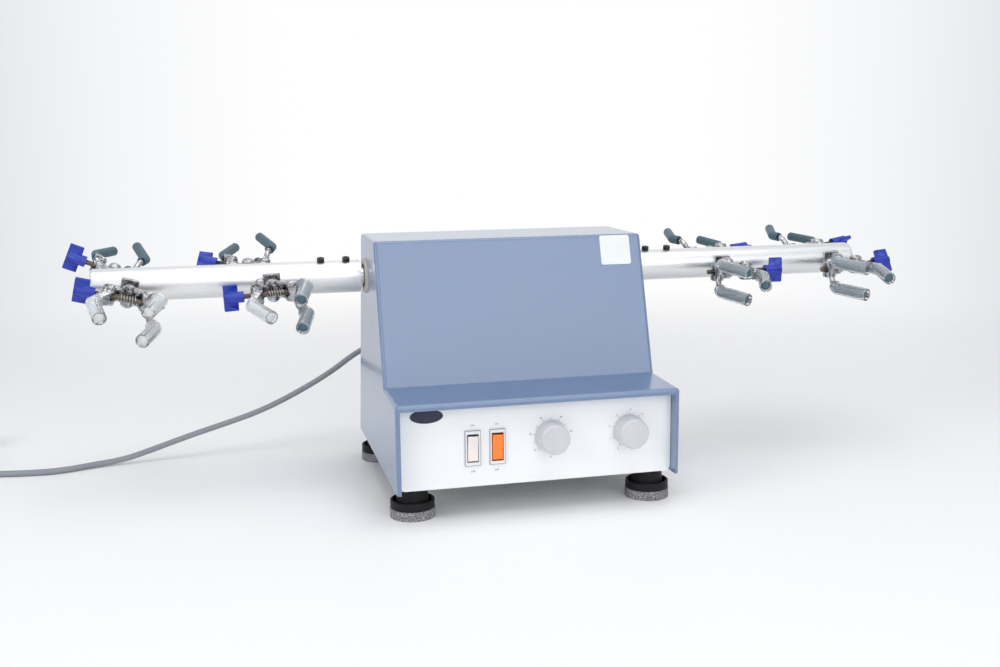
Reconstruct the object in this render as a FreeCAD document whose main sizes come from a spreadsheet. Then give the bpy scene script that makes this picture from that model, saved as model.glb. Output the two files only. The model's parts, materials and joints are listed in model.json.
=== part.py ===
import FreeCAD, Part
import math
import os

import Sketcher

# A bench flask shaker: a housing on four feet, a rocking shaft that carries two tube arms,
# and eight three-finger clamps on the arms. Lengths are in millimetres, +X runs to the right
# along the arms, +Y to the back, +Z up. The origin is on the floor under the middle.
# Places called "reach" or "from_front" are measured back from the housing's front edge.

os.makedirs("parts", exist_ok=True)
doc = FreeCAD.newDocument("flask_shaker")

VALUES = {
    # housing
    "front_edge": -153.5, "cover_width": 300, "cover_wall": 4.5, "cover_bottom": 33,
    "ledge_top": 125, "ledge_lip": 6.5, "slope_foot_reach": 76.5, "slope_foot_top": 127,
    "slope_head_reach": 124, "cover_top": 276, "rear_head_reach": 230, "rear_foot_reach": 289,
    "edge_round": 4, "cover_boss_radius": 6, "cover_boss_tall": 26, "cover_boss_front": 92,
    "cover_boss_rear": 236, "cover_boss_inset": 11,
    # base, panel and feet
    "base_sheet": 2.5, "panel_setback": 14, "panel_sheet": 2.5, "fit_gap": 0.3,
    "panel_corner": 6, "foot_pad_radius": 23.4, "foot_pad_tall": 9.7, "foot_inset": 21.5,
    "foot_front": 38.5, "foot_rear_inset": 27, "cup_radius": 23, "cup_tall": 8.5, "cup_wall": 2.4,
    "cup_floor": 3, "foot_radius": 17, "foot_taper": 1.5, "foot_screw_radius": 2.5,
    "screw_play": 0.1, "cover_screw_radius": 2,
    # rocking shaft, its bearings and its side frames
    "shaft_reach": 196, "shaft_drop": 44.5, "shaft_radius": 10, "shaft_short": 1,
    "bearing_outer": 21, "bearing_wide": 12, "frame_inset": 18, "frame_half_deep": 30,
    "frame_head": 27, "frame_foot": 34, "frame_foot_tall": 8, "run_play": 0.05,
    "ring_flange": 19.5, "ring_spigot": 17, "ring_bore": 13.5, "ring_proud": 2.6,
    # arms
    "left_tilt": 12.6, "right_tilt": 7.6, "tube_radius": 18, "tube_wall": 3, "tube_gap": 7,
    "left_tube_long": 284, "right_tube_long": 290, "hub_long": 58, "plug_long": 14,
    "plug_rim": 2.5, "cap_head_radius": 4.1, "cap_head_tall": 4.4, "cap_shank_radius": 2.6,
    "screw_left_inner": 15, "screw_left_outer": 43,
    "screw_right_inner": 26, "screw_right_outer": 53,
    # slotted lever and crank
    "lever_wide": 16, "lever_hub": 17, "lever_prong": 8, "lever_tip": 64, "crank_drop": 40,
    "crank_throw": 7, "cam_radius": 9.5, "cam_wide": 7, "cam_play": 1.2, "pin_radius": 4,
    "crank_disc": 15, "crank_disc_wide": 8, "crank_radius": 6, "crank_end": 76,
    "crank_bearing_outer": 14, "crank_bearing_wide": 8, "frame_near": 26, "frame_far": 66,
    "drive_frame_deep": 26, "drive_frame_thick": 10,
    # belt drive and motor
    "pulley_middle": 46, "pulley_wide": 14, "pulley_flange": 3, "pulley_rim": 2,
    "crank_pulley_radius": 25, "motor_pulley_radius": 12.5, "belt_wide": 9, "belt_thick": 2,
    "motor_reach": 128, "motor_height": 90, "motor_radius": 36, "motor_long": 112,
    "motor_end": 16, "motor_shaft_radius": 4, "saddle_long": 78, "saddle_deep": 62,
    # control board
    "board_inset": 25.2, "board_front": 62, "board_wide": 80, "board_deep": 100,
    "board_thick": 1.6, "board_lift": 8, "post_radius": 3, "post_edge": 6, "sink_wide": 12,
    "sink_deep": 50, "sink_tall": 34, "sink_side": 56, "sink_front": 18, "can_radius": 9,
    "can_tall": 26, "can_side": 18, "can_front": 78, "core_wide": 28, "core_deep": 24,
    "core_side": 12, "core_front": 14,
    # switches
    "mains_switch_side": -69.6, "run_switch_side": -43.7, "switch_height": 73.5,
    "bezel_wide": 16.4, "bezel_tall": 37, "bezel_proud": 1.8, "rocker_wide": 10.4,
    "rocker_tall": 27.6, "rocker_depth": 9, "rocker_tip": 3.2, "rocker_swing": 10,
    "rocker_pin": 2, "switch_body_deep": 26,
    # control knobs
    "timer_side": 13.3, "speed_side": 98.5, "knob_height": 80.3, "knob_base_radius": 17,
    "knob_face_radius": 15, "knob_tall": 19, "knob_gap": 0.6, "spindle_radius": 3,
    "spindle_long": 26, "nut_radius": 8, "nut_thick": 2.4, "unit_deep": 24, "unit_half": 14,
    # clamp boss and pivot
    "pivot_reach": 34, "boss_face": 20, "boss_half_wide": 9, "boss_half_tall": 12,
    "eye_radius": 7, "pivot_radius": 2.5, "boss_lug": 3, "single_lug": 5.8, "double_lug": 8.6,
    "dome_radius": 6.5, "dome_tall": 4.4,
    # clamp jaws: how far out and forward the barrel, the elbow and the finger stand
    "screw_reach": 45.6, "jaw_spread": 17.6, "barrel_radius": 7, "barrel_half": 8,
    "barrel_rim": 1.8, "barrel_sink": 2.2, "barrel_lip": 1.7, "root_side": 24.6, "root_reach": 79, "stub_long": 13,
    "stub_angle": 13, "finger_angle": 24.5, "finger_radius": 3, "finger_long": 34,
    "fork_half": 15.4, "fork_sag": 13, "fork_section": 3.2, "slot_open": 7.3,
    "fork_slot_open": 5, "slot_close": 4.3,
    # finger sleeves: a rubber one on each finger, a clear tube over those in front
    "rubber_radius": 5.4, "rubber_start": 2, "rubber_end": 38.2, "cap_round": 1.6, "clear_radius": 7.1,
    "clear_start": 5, "clear_end": 40,
    # clamp screw with its wing knob and the spring on it
    "rod_radius": 3, "rod_play": 0.4, "rod_tail": 33.5, "hub_start": 37.5, "hub_end": 57.5,
    "hub_radius": 6, "wing_start": 43.5, "wing_end": 58.5, "wing_span": 29, "wing_thick": 6,
    "wing_tip_thick": 4, "wing_round": 1.2, "spring_radius": 4.3, "spring_half": 8.5,
    "spring_wire": 1,
    # clamp stations, from the start of the arm's tube
    "front_left_outer": 247, "front_left_inner": 97.5, "front_right_inner": 117.5,
    "front_right_outer": 262, "rear_left_outer": 266.5, "rear_left_inner": 121.5,
    "rear_right_inner": 125, "rear_right_outer": 260,
    # mains lead
    "cord_radius": 3.5, "gland_side": -100, "gland_height": 131, "gland_radius": 8,
    "relief_long": 30, "coil_radius": 38.5, "coil_side": -639, "coil_reach": 345,
    "coil_half_wide": 10.5, "coil_tall": 14, "tail_long": 22, "plug_wide": 50,
    "plug_deep": 46, "plug_body_tall": 26,
    # what follows from the sizes above
    "shaft_height": "=cover_top - shaft_drop", "frame_middle": "=cover_width / 2 - frame_inset",
    "tube_start": "=cover_width / 2 + tube_gap",
    "shaft_half": "=cover_width / 2 + tube_gap + hub_long - shaft_short",
    "foot_side": "=cover_width / 2 - foot_inset", "foot_rear": "=rear_foot_reach - foot_rear_inset",
}

sizes = doc.addObject("Spreadsheet::Sheet", "sizes")
for row, (alias, value) in enumerate(VALUES.items(), start=1):
    sizes.set("A%d" % row, alias)
    sizes.set("B%d" % row, str(value))
    sizes.setAlias("B%d" % row, alias)
doc.recompute()

X_AXIS = FreeCAD.Vector(1, 0, 0)
Y_AXIS = FreeCAD.Vector(0, 1, 0)
Z_AXIS = FreeCAD.Vector(0, 0, 1)
UPRIGHT = FreeCAD.Rotation()
ALONG = {"Z": UPRIGHT, "X": FreeCAD.Rotation(Y_AXIS, 90), "Y": FreeCAD.Rotation(X_AXIS, -90)}

nodes = []
names = {}


def full(text):
    """An expression in which each word that is a size's name is read from the sheet."""
    word, out = "", ""
    for letter in text + " ":
        if letter.isalnum() or letter == "_":
            word += letter
            continue
        out += ("sizes." + word if word in VALUES else word) + letter
        word = ""
    return out.strip()


def number(text):
    """The value of an expression in the sheet's sizes."""
    return float(sizes.evalExpression(full(str(text))))


def fresh(name):
    names[name] = names.get(name, 0) + 1
    return "%s_%d" % (name, names[name])


def bind(thing, **expressions):
    for prop, text in expressions.items():
        thing.setExpression(prop, full(str(text)))
    return thing


def put(thing, x=0, y=0, z=0, turn=UPRIGHT):
    thing.Placement = FreeCAD.Placement(FreeCAD.Vector(number(x), number(y), number(z)), turn)
    for letter, text in (("x", x), ("y", y), ("z", z)):
        if str(text) != "0":
            thing.setExpression("Placement.Base." + letter, full(str(text)))
    return thing


def block(name, wide, deep, tall, x, y, z):
    thing = doc.addObject("Part::Box", fresh(name))
    bind(thing, Length=wide, Width=deep, Height=tall)
    return put(thing, x, y, z)


def rod(name, radius, long, x, y, z, along="X"):
    thing = doc.addObject("Part::Cylinder", fresh(name))
    bind(thing, Radius=radius, Height=long)
    return put(thing, x, y, z, ALONG[along])


def cone(name, start_radius, end_radius, long, x, y, z, along="X"):
    thing = doc.addObject("Part::Cone", fresh(name))
    bind(thing, Radius1=start_radius, Radius2=end_radius, Height=long)
    return put(thing, x, y, z, ALONG[along])


def cut(name, base, *tools):
    for tool in tools:
        less = doc.addObject("Part::Cut", fresh(name))
        less.Base, less.Tool = base, tool
        base = less
    return base


def fuse(name, *items):
    thing = doc.addObject("Part::MultiFuse", fresh(name))
    thing.Shapes = list(items)
    thing.Refine = True
    return thing


def together(name, *items):
    thing = doc.addObject("Part::Compound", fresh(name))
    thing.Links = list(items)
    return thing


def node(label, thing):
    thing.Label = label
    nodes.append(thing)
    return thing


def plane(body, role):
    return [item for item in body.Origin.OriginFeatures if item.Role == role][0]


def outline(body, role, points, name):
    """A closed sketch whose corners are held by expressions, on one of the body's own planes."""
    sketch = body.newObject("Sketcher::SketchObject", fresh(name))
    sketch.AttachmentSupport = [(plane(body, role), "")]
    sketch.MapMode = "FlatFace"
    spots = [FreeCAD.Vector(number(u), number(v), 0) for u, v in points]
    count = len(spots)
    for index in range(count):
        sketch.addGeometry(Part.LineSegment(spots[index], spots[(index + 1) % count]), False)
    for index in range(count):
        sketch.addConstraint(Sketcher.Constraint("Coincident", index, 2, (index + 1) % count, 1))
    for index, (u, v) in enumerate(points):
        for kind, text, value in (("DistanceX", u, spots[index].x), ("DistanceY", v, spots[index].y)):
            held = sketch.addConstraint(Sketcher.Constraint(kind, -1, 1, index, 1, value))
            sketch.setExpression("Constraints[%d]" % held, full(str(text)))
    return sketch


def padded(name, role, points, thick):
    """A body padded to both sides of one of its planes."""
    body = doc.addObject("PartDesign::Body", fresh(name))
    sketch = outline(body, role, points, name + "_outline")
    pad = body.newObject("PartDesign::Pad", fresh(name + "_pad"))
    pad.Profile = sketch
    pad.SideType = "Symmetric" if hasattr(pad, "SideType") else 0
    if not hasattr(pad, "SideType"):
        pad.Midplane = True
    bind(pad, Length=thick)
    doc.recompute()
    return body


def pocketed(body, role, points, deep, name):
    sketch = outline(body, role, points, name + "_outline")
    pocket = body.newObject("PartDesign::Pocket", fresh(name))
    pocket.Profile = sketch
    pocket.SideType = "Symmetric" if hasattr(pocket, "SideType") else 0
    if not hasattr(pocket, "SideType"):
        pocket.Midplane = True
    bind(pocket, Length=deep)
    before = body.Shape.Volume
    doc.recompute()
    if body.Shape.Volume > before - 1:
        raise RuntimeError(name + " cuts nothing")
    return body


def rounded(body, radius, chosen):
    """Fillets the edges of the body's tip that the test picks."""
    tip = body.Tip
    picked = ["Edge%d" % (index + 1) for index, edge in enumerate(tip.Shape.Edges) if chosen(edge)]
    fillet = body.newObject("PartDesign::Fillet", fresh("rounding"))
    fillet.Base = (tip, picked)
    bind(fillet, Radius=radius)
    doc.recompute()
    return body


def revolved(name, points, x, y, z, turn=UPRIGHT):
    """A body turned about its own Z axis from an outline in its XZ plane."""
    body = doc.addObject("PartDesign::Body", fresh(name))
    sketch = outline(body, "XZ_Plane", points, name + "_outline")
    turned = body.newObject("PartDesign::Revolution", fresh(name + "_turned"))
    turned.Profile = sketch
    turned.ReferenceAxis = (sketch, ["V_Axis"])
    turned.Angle = 360
    put(body, x, y, z, turn)
    doc.recompute()
    return body


def reach(text):
    return "front_edge + " + text


# The cover: one moulded shell, open below and at the front under its ledge
slope_run = "((slope_head_reach - slope_foot_reach) / (cover_top - slope_foot_top))"
rear_run = "((rear_foot_reach - rear_head_reach) / (cover_top - cover_bottom))"
slope_shift = "cover_wall * sqrt(1 + %s ^ 2)" % slope_run
rear_shift = "cover_wall * sqrt(1 + %s ^ 2)" % rear_run
lip_under = "(ledge_top - ledge_lip)"
below = "(cover_bottom - 10)"
ceiling = "(cover_top - cover_wall)"

cover = padded("cover", "YZ_Plane", [
    (reach("0"), "cover_bottom"), (reach("0"), "ledge_top"),
    (reach("slope_foot_reach"), "slope_foot_top"), (reach("slope_head_reach"), "cover_top"),
    (reach("rear_head_reach"), "cover_top"), (reach("rear_foot_reach"), "cover_bottom"),
], "cover_width")


def outerEdge(edge):
    """Every edge but those of the open bottom, the junction of ledge and slope and the open front."""
    middle = edge.BoundBox.Center
    level = middle.z < number("cover_bottom") + 0.1
    crease = edge.BoundBox.XLength > 10 and abs(middle.z - number("slope_foot_top")) < 0.5
    return not level and not crease


cover = rounded(cover, "edge_round", outerEdge)
cover = pocketed(cover, "YZ_Plane", [
    (reach("0 - 10"), below), (reach("0 - 10"), lip_under),
    (reach("slope_foot_reach + %s - (slope_foot_top - %s) * %s" % (slope_shift, lip_under, slope_run)),
     lip_under),
    (reach("slope_head_reach + %s - cover_wall * %s" % (slope_shift, slope_run)), ceiling),
    (reach("rear_head_reach - %s + cover_wall * %s" % (rear_shift, rear_run)), ceiling),
    (reach("rear_foot_reach - %s + 10 * %s" % (rear_shift, rear_run)), below),
], "cover_width - 2 * cover_wall", "hollow")

shaft_y = reach("shaft_reach")
shell = cut("shell", cover, rod("shaft_hole", "ring_spigot + screw_play", "cover_width + 20",
                                "-cover_width / 2 - 10", shaft_y, "shaft_height"))
gland_wall = "rear_head_reach + (cover_top - gland_height) * %s" % rear_run
shell = cut("shell", shell, rod("gland_hole", "gland_radius - 2 + screw_play", 40, "gland_side",
                                reach(gland_wall + " - 25"), "gland_height", "Y"))
boss_places = [(side, place) for side in (-1, 1) for place in ("cover_boss_front", "cover_boss_rear")]
floor_top = "(cover_bottom + base_sheet)"
bosses = []
for side, place in boss_places:
    across = "%d * (cover_width / 2 - cover_boss_inset)" % side
    post = rod("cover_boss", "cover_boss_radius", "cover_boss_tall", across, reach(place), floor_top, "Z")
    web = block("cover_web", "cover_boss_inset - cover_wall + 0.5", 3, "cover_boss_tall",
                across if side > 0 else "%s - (cover_boss_inset - cover_wall + 0.5)" % across,
                reach(place + " - 1.5"), floor_top)
    hole = rod("boss_hole", "cover_screw_radius", "cover_boss_tall - 6", across, reach(place),
               floor_top, "Z")
    bosses.append(cut("boss", fuse("boss", post, web), hole))
node("cover", fuse("cover_shell", shell, *bosses))

# The base plate, the control panel and what screws them together
inner_half = "(cover_width / 2 - cover_wall - fit_gap)"
panel_back = "(panel_setback + panel_sheet)"
rear_inside = "(rear_foot_reach - %s - fit_gap)" % rear_shift
base = block("base", "2 * " + inner_half, "%s - %s - 2" % (rear_inside, panel_back), "base_sheet",
             "-" + inner_half, reach(panel_back), "cover_bottom")
feet = [(side, place) for side in (-1, 1) for place in ("foot_front", "foot_rear")]
for side, place in feet:
    base = cut("base", base, rod("foot_hole", "foot_screw_radius + screw_play", 20,
                                 "%d * foot_side" % side, reach(place), "cover_bottom - 5", "Z"))
for side, place in boss_places:
    base = cut("base", base, rod("boss_screw_hole", "cover_screw_radius + screw_play", 20,
                                 "%d * (cover_width / 2 - cover_boss_inset)" % side, reach(place),
                                 "cover_bottom - 5", "Z"))
node("base_plate", base)

panel = padded("panel", "XZ_Plane", [
    ("-" + inner_half, "cover_bottom"), (inner_half, "cover_bottom"),
    (inner_half, lip_under + " - fit_gap"), ("-" + inner_half, lip_under + " - fit_gap"),
], "panel_sheet")
panel = rounded(panel, "panel_corner", lambda edge: edge.BoundBox.YLength > 1
                and edge.BoundBox.Center.z < number("cover_bottom") + 1)
put(panel, 0, reach("panel_setback + panel_sheet / 2"), 0)
switches = ["mains_switch_side", "run_switch_side"]
dials = ["timer_side", "speed_side"]
through = reach("panel_setback - 10")
sheet = panel
for side in switches:
    sheet = cut("sheet", sheet, block("switch_hole", "bezel_wide - 3", 30, "bezel_tall - 4",
                                      side + " - (bezel_wide - 3) / 2", through,
                                      "switch_height - (bezel_tall - 4) / 2"))
for side in dials:
    sheet = cut("sheet", sheet, rod("spindle_hole", "spindle_radius + 2 + screw_play", 30, side,
                                    through, "knob_height", "Y"))
node("control_panel", sheet)

# Feet: a speckled pad glued under a shallow cup, and a rubber foot that stands in the cup,
# held to the base by one screw
foot_start = "(foot_pad_tall + cup_floor)"
foot_tall = "(cover_bottom - %s)" % foot_start
head_deep = 4
pads, cups, rubber_feet, screws = [], [], [], []
for side, place in feet:
    across = "%d * foot_side" % side
    pads.append(rod("foot_pad", "foot_pad_radius", "foot_pad_tall", across, reach(place), 0, "Z"))
    cups.append(revolved("foot_cup", [
        (0, 0), ("cup_radius - 0.8", 0), ("cup_radius", 0.8), ("cup_radius", "cup_tall - 0.6"),
        ("cup_radius - 0.6", "cup_tall"), ("cup_radius - cup_wall + 0.4", "cup_tall"),
        ("cup_radius - cup_wall", "cup_tall - 0.6"), ("cup_radius - cup_wall - 0.8", "cup_floor"),
        (0, "cup_floor"),
    ], across, reach(place), "foot_pad_tall"))
    foot = cone("rubber_foot", "foot_radius", "foot_radius - foot_taper", foot_tall, across, reach(place),
                foot_start, "Z")
    rubber_feet.append(cut(
        "rubber_foot", foot,
        rod("head_room", "2 * foot_screw_radius + screw_play", head_deep, across, reach(place),
            foot_start, "Z"),
        rod("foot_bore", "foot_screw_radius + screw_play", foot_tall, across, reach(place),
            foot_start, "Z")))
    head = rod("foot_screw_head", "2 * foot_screw_radius", 3, across, reach(place),
               foot_start + " + %d - 3" % head_deep, "Z")
    shank = rod("foot_screw_shank", "foot_screw_radius", foot_tall + " + base_sheet + 4 - %d" % head_deep,
                across, reach(place), foot_start + " + %d" % head_deep, "Z")
    screws.append(fuse("foot_screw", head, shank))
for side, place in boss_places:
    across = "%d * (cover_width / 2 - cover_boss_inset)" % side
    head = rod("cover_screw_head", "2 * cover_screw_radius", 2.4, across, reach(place),
               "cover_bottom - 2.4", "Z")
    shank = rod("cover_screw_shank", "cover_screw_radius - 0.05", "base_sheet + 14", across,
                reach(place), "cover_bottom", "Z")
    screws.append(fuse("cover_screw", head, shank))
node("foot_pads", together("foot_pads", *pads))
node("foot_cups", together("foot_cups", *cups))
node("rubber_feet", together("rubber_feet", *rubber_feet))
node("housing_screws", together("housing_screws", *screws))

# Side frames stand on the base and hold the rocking shaft's ball bearings
side_frames, bearings, rings = [], [], []


def bearing(outer, inner, wide, x, y, z):
    whole = rod("bearing", outer, wide, x, y, z)
    bore = rod("bearing_bore", inner, wide, x, y, z)
    race = cut("race", rod("shield_outer", "%s - (%s - %s) * 0.28" % (outer, outer, inner), 1, x, y, z),
               rod("shield_inner", "%s + (%s - %s) * 0.28" % (inner, outer, inner), 1, x, y, z))
    return cut("ball_bearing", whole, bore, race)


for side in (-1, 1):
    start = "%d * frame_middle - bearing_wide / 2" % side
    upright = block("upright", "bearing_wide", "2 * frame_half_deep",
                    "shaft_height + frame_head - " + floor_top, start,
                    shaft_y + " - frame_half_deep", floor_top)
    foot = block("frame_foot", "frame_foot", "2 * frame_half_deep", "frame_foot_tall",
                 start + (" - frame_foot + 1" if side > 0 else " + bearing_wide - 1"),
                 shaft_y + " - frame_half_deep", floor_top)
    window = block("frame_window", "bearing_wide + 10", "2 * frame_half_deep - 24",
                   "shaft_height - bearing_outer - 20 - cover_bottom - 30", start + " - 5",
                   shaft_y + " - frame_half_deep + 12", "cover_bottom + 30")
    hole = rod("frame_hole", "bearing_outer + 0.02", "bearing_wide + 10", start + " - 5", shaft_y,
               "shaft_height")
    side_frames.append(cut("side_frame", fuse("side_frame", upright, foot), window, hole))
    bearings.append(bearing("bearing_outer", "(shaft_radius + run_play)", "bearing_wide", start,
                            shaft_y, "shaft_height"))
    inside = "%d * (cover_width / 2) - %d * cover_wall" % (side, side)
    flange_at = "cover_width / 2" if side > 0 else "-cover_width / 2 - ring_proud"
    spigot_at = inside if side > 0 else "-cover_width / 2"
    ring = fuse("ring", rod("ring_flange", "ring_flange", "ring_proud", flange_at, shaft_y, "shaft_height"),
                rod("ring_spigot", "ring_spigot", "cover_wall", spigot_at, shaft_y, "shaft_height"))
    rings.append(cut("side_ring", ring, rod("ring_hole", "ring_bore", "cover_wall + ring_proud + 2",
                                            (inside + " - 1") if side > 0 else flange_at + " - 1",
                                            shaft_y, "shaft_height")))
node("side_frames", together("side_frames", *side_frames))
node("side_rings", together("side_rings", *rings))

# Drive frames carry the crankshaft's bearings
crank_z = "(shaft_height - crank_drop)"
drive_frames = []
for middle in ("frame_near", "frame_far"):
    start = middle + " - drive_frame_thick / 2"
    upright = block("drive_upright", "drive_frame_thick", "2 * drive_frame_deep",
                    crank_z + " + crank_bearing_outer + 7 - " + floor_top, start,
                    shaft_y + " - drive_frame_deep", floor_top)
    foot = block("drive_foot", 22, "2 * drive_frame_deep", "frame_foot_tall",
                 start + " - 21",
                 shaft_y + " - drive_frame_deep", floor_top)
    hole = rod("drive_hole", "crank_bearing_outer + 0.02", "drive_frame_thick + 10", start + " - 5",
               shaft_y, crank_z)
    window = block("drive_window", "drive_frame_thick + 10", "2 * drive_frame_deep - 20",
                   crank_z + " - crank_bearing_outer - 14 - cover_bottom - 26", start + " - 5",
                   shaft_y + " - drive_frame_deep + 10", "cover_bottom + 26")
    drive_frames.append(cut("drive_frame", fuse("drive_frame", upright, foot), hole, window))
    bearings.append(bearing("crank_bearing_outer", "(crank_radius + run_play)", "crank_bearing_wide",
                            middle + " - crank_bearing_wide / 2", shaft_y, crank_z))
node("drive_frames", together("drive_frames", *drive_frames))
node("ball_bearings", together("ball_bearings", *bearings))

# The crankshaft with its disc and pin, the cam bearing on the pin, and the pulley
disc_start = "(lever_wide / 2 + 1.5)"
pin_z = "(%s - crank_throw)" % crank_z
crank = fuse(
    "crank",
    rod("crank_pin", "pin_radius", "%s + cam_wide / 2 + 1.5" % disc_start, "-cam_wide / 2 - 1.5",
        shaft_y, pin_z),
    rod("crank_disc", "crank_disc", "crank_disc_wide", disc_start, shaft_y, crank_z),
    rod("crank_journal", "crank_radius", "crank_end - %s - crank_disc_wide / 2" % disc_start,
        disc_start + " + crank_disc_wide / 2", shaft_y, crank_z))
node("crank_shaft", crank)
node("cam_bearing", cut("cam_bearing", rod("cam", "cam_radius", "cam_wide", "-cam_wide / 2", shaft_y, pin_z),
                        rod("cam_bore", "pin_radius + 0.02", "cam_wide", "-cam_wide / 2", shaft_y, pin_z)))


def pulley(seat, bore, y, z):
    start = "pulley_middle - pulley_wide / 2"
    far = "pulley_middle + pulley_wide / 2 - pulley_rim"
    drum = rod("pulley_drum", seat, "pulley_wide", start, y, z)
    rims = [rod("pulley_rim", seat + " + pulley_flange", "pulley_rim", place, y, z) for place in (start, far)]
    return cut("pulley", fuse("pulley", drum, *rims), rod("pulley_bore", bore, "pulley_wide", start, y, z))


motor_y = reach("motor_reach")
node("crank_pulley", pulley("crank_pulley_radius", "crank_radius + 0.02", shaft_y, crank_z))
rotor = rod("motor_spindle", "motor_shaft_radius", "motor_long + pulley_middle - motor_end + pulley_wide / 2 + 8",
            "motor_end - motor_long - 6", motor_y, "motor_height")
node("motor_shaft", together("motor_shaft", rotor,
                             pulley("motor_pulley_radius", "motor_shaft_radius + 0.02", motor_y, "motor_height")))

# The belt: two arcs and two tangent runs about the pulleys, a gap off their seats
belt = doc.addObject("Part::Feature", "belt")


def beltLoop(grow):
    """A flat face about both pulleys, its edge the given distance outside their seats."""
    big = number("crank_pulley_radius") + grow
    small = number("motor_pulley_radius") + grow
    span = FreeCAD.Vector(0, number(shaft_y) - number(motor_y), number(crank_z) - number("motor_height"))
    base_angle = math.atan2(span.z, span.y)
    lean = math.acos((small - big) / span.Length)
    spots = []
    for radius, middle_y, middle_z in ((small, 0, 0), (big, span.y, span.z)):
        for sign in (1, -1):
            angle = base_angle + sign * lean
            spots.append(FreeCAD.Vector(0, middle_y + radius * math.cos(angle),
                                        middle_z + radius * math.sin(angle)))
    near = FreeCAD.Vector(0, -small * math.cos(base_angle), -small * math.sin(base_angle))
    far = FreeCAD.Vector(0, span.y + big * math.cos(base_angle), span.z + big * math.sin(base_angle))
    edges = [Part.Arc(spots[0], near, spots[1]).toShape(), Part.LineSegment(spots[1], spots[3]).toShape(),
             Part.Arc(spots[3], far, spots[2]).toShape(), Part.LineSegment(spots[2], spots[0]).toShape()]
    return Part.Face(Part.Wire(edges))


loop = beltLoop(number("fit_gap + belt_thick")).cut(beltLoop(number("fit_gap")))
belt.Shape = loop.extrude(FreeCAD.Vector(number("belt_wide"), 0, 0))
belt.Placement = FreeCAD.Placement(FreeCAD.Vector(number("pulley_middle - belt_wide / 2"), number(motor_y),
                                                  number("motor_height")), UPRIGHT)
node("drive_belt", belt)

# The motor in its saddle
motor = fuse(
    "motor",
    rod("motor_can", "motor_radius", "motor_long", "motor_end - motor_long", motor_y, "motor_height"),
    rod("motor_nose", "motor_radius * 0.45", "motor_long + 8", "motor_end - motor_long - 4", motor_y,
        "motor_height"))
vents = [block("motor_vent", 5, "motor_radius * 0.9", "2 * motor_radius + 4",
               "motor_end - motor_long + %d" % place, motor_y + " - motor_radius * 0.45",
               "motor_height + motor_radius - 3") for place in (12, 22, 32)]
node("motor_body", cut("motor_body", motor, *vents,
                       rod("motor_bore", "motor_shaft_radius + run_play", "motor_long + 30",
                           "motor_end - motor_long - 15", motor_y, "motor_height")))
saddle_start = "motor_end - motor_long / 2 - saddle_long / 2"
saddle = block("saddle", "saddle_long", "saddle_deep", "motor_height - motor_radius * 0.6 - " + floor_top,
               saddle_start, motor_y + " - saddle_deep / 2", floor_top)
node("motor_saddle", cut("motor_saddle", saddle,
                         rod("saddle_hollow", "motor_radius + fit_gap", "saddle_long + 10",
                             saddle_start + " - 5", motor_y, "motor_height"),
                         block("saddle_window", "saddle_long - 24", "saddle_deep + 10", 10,
                               saddle_start + " + 12", motor_y + " - saddle_deep / 2 - 5",
                               floor_top + " + 4")))

# The control board on its posts, behind the speed control
board_start = "(%s - board_inset - board_wide)" % inner_half
board_top = "(%s + board_lift + board_thick)" % floor_top
board = block("board", "board_wide", "board_deep", "board_thick", board_start, reach("board_front"),
              floor_top + " + board_lift")
parts_on_board = [
    block("heat_sink", "sink_wide", "sink_deep", "sink_tall", board_start + " + sink_side",
          reach("board_front + sink_front"), board_top + " - 0.6"),
    rod("capacitor", "can_radius", "can_tall", board_start + " + can_side",
        reach("board_front + can_front"), board_top + " - 0.6", "Z"),
    block("transformer", "core_wide", "core_deep", "core_deep", board_start + " + core_side",
          reach("board_front + core_front"), board_top + " - 0.6")]
posts = [rod("board_post", "post_radius", "board_lift",
             board_start + " + post_edge + %d * (board_wide - 2 * post_edge)" % column,
             reach("board_front + post_edge + %d * (board_deep - 2 * post_edge)" % line), floor_top, "Z")
         for column in (0, 1) for line in (0, 1)]
node("control_board", fuse("control_board", board, *parts_on_board, *posts))

# Rocker switches: bezel and body in one moulding, the rocker in its window
switch_bodies = []
rocker_pivot = "(panel_setback + 2)"
for side in switches:
    bezel = block("bezel", "bezel_wide", "bezel_proud", "bezel_tall", side + " - bezel_wide / 2",
                  reach("panel_setback - bezel_proud"), "switch_height - bezel_tall / 2")
    case = block("switch_case", "bezel_wide - 3 - 2 * screw_play", "switch_body_deep + 1",
                 "bezel_tall - 4 - 2 * screw_play", side + " - bezel_wide / 2 + 1.5 + screw_play",
                 reach("panel_setback - 1"), "switch_height - bezel_tall / 2 + 2 + screw_play")
    window = block("rocker_window", "rocker_wide + 1", "rocker_depth + 14", "rocker_tall + 1.6",
                   side + " - rocker_wide / 2 - 0.5", reach("panel_setback - 12"),
                   "switch_height - rocker_tall / 2 - 0.8")
    blades = [block("blade", 4.8, 8, 0.8, side + " - 2.4",
                    reach("panel_setback + switch_body_deep - 0.5"), "switch_height + %d" % lift)
              for lift in (-9, 0, 9)]
    switch_bodies.append(cut("switch_body", fuse("switch_body", bezel, case, *blades), window))

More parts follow.
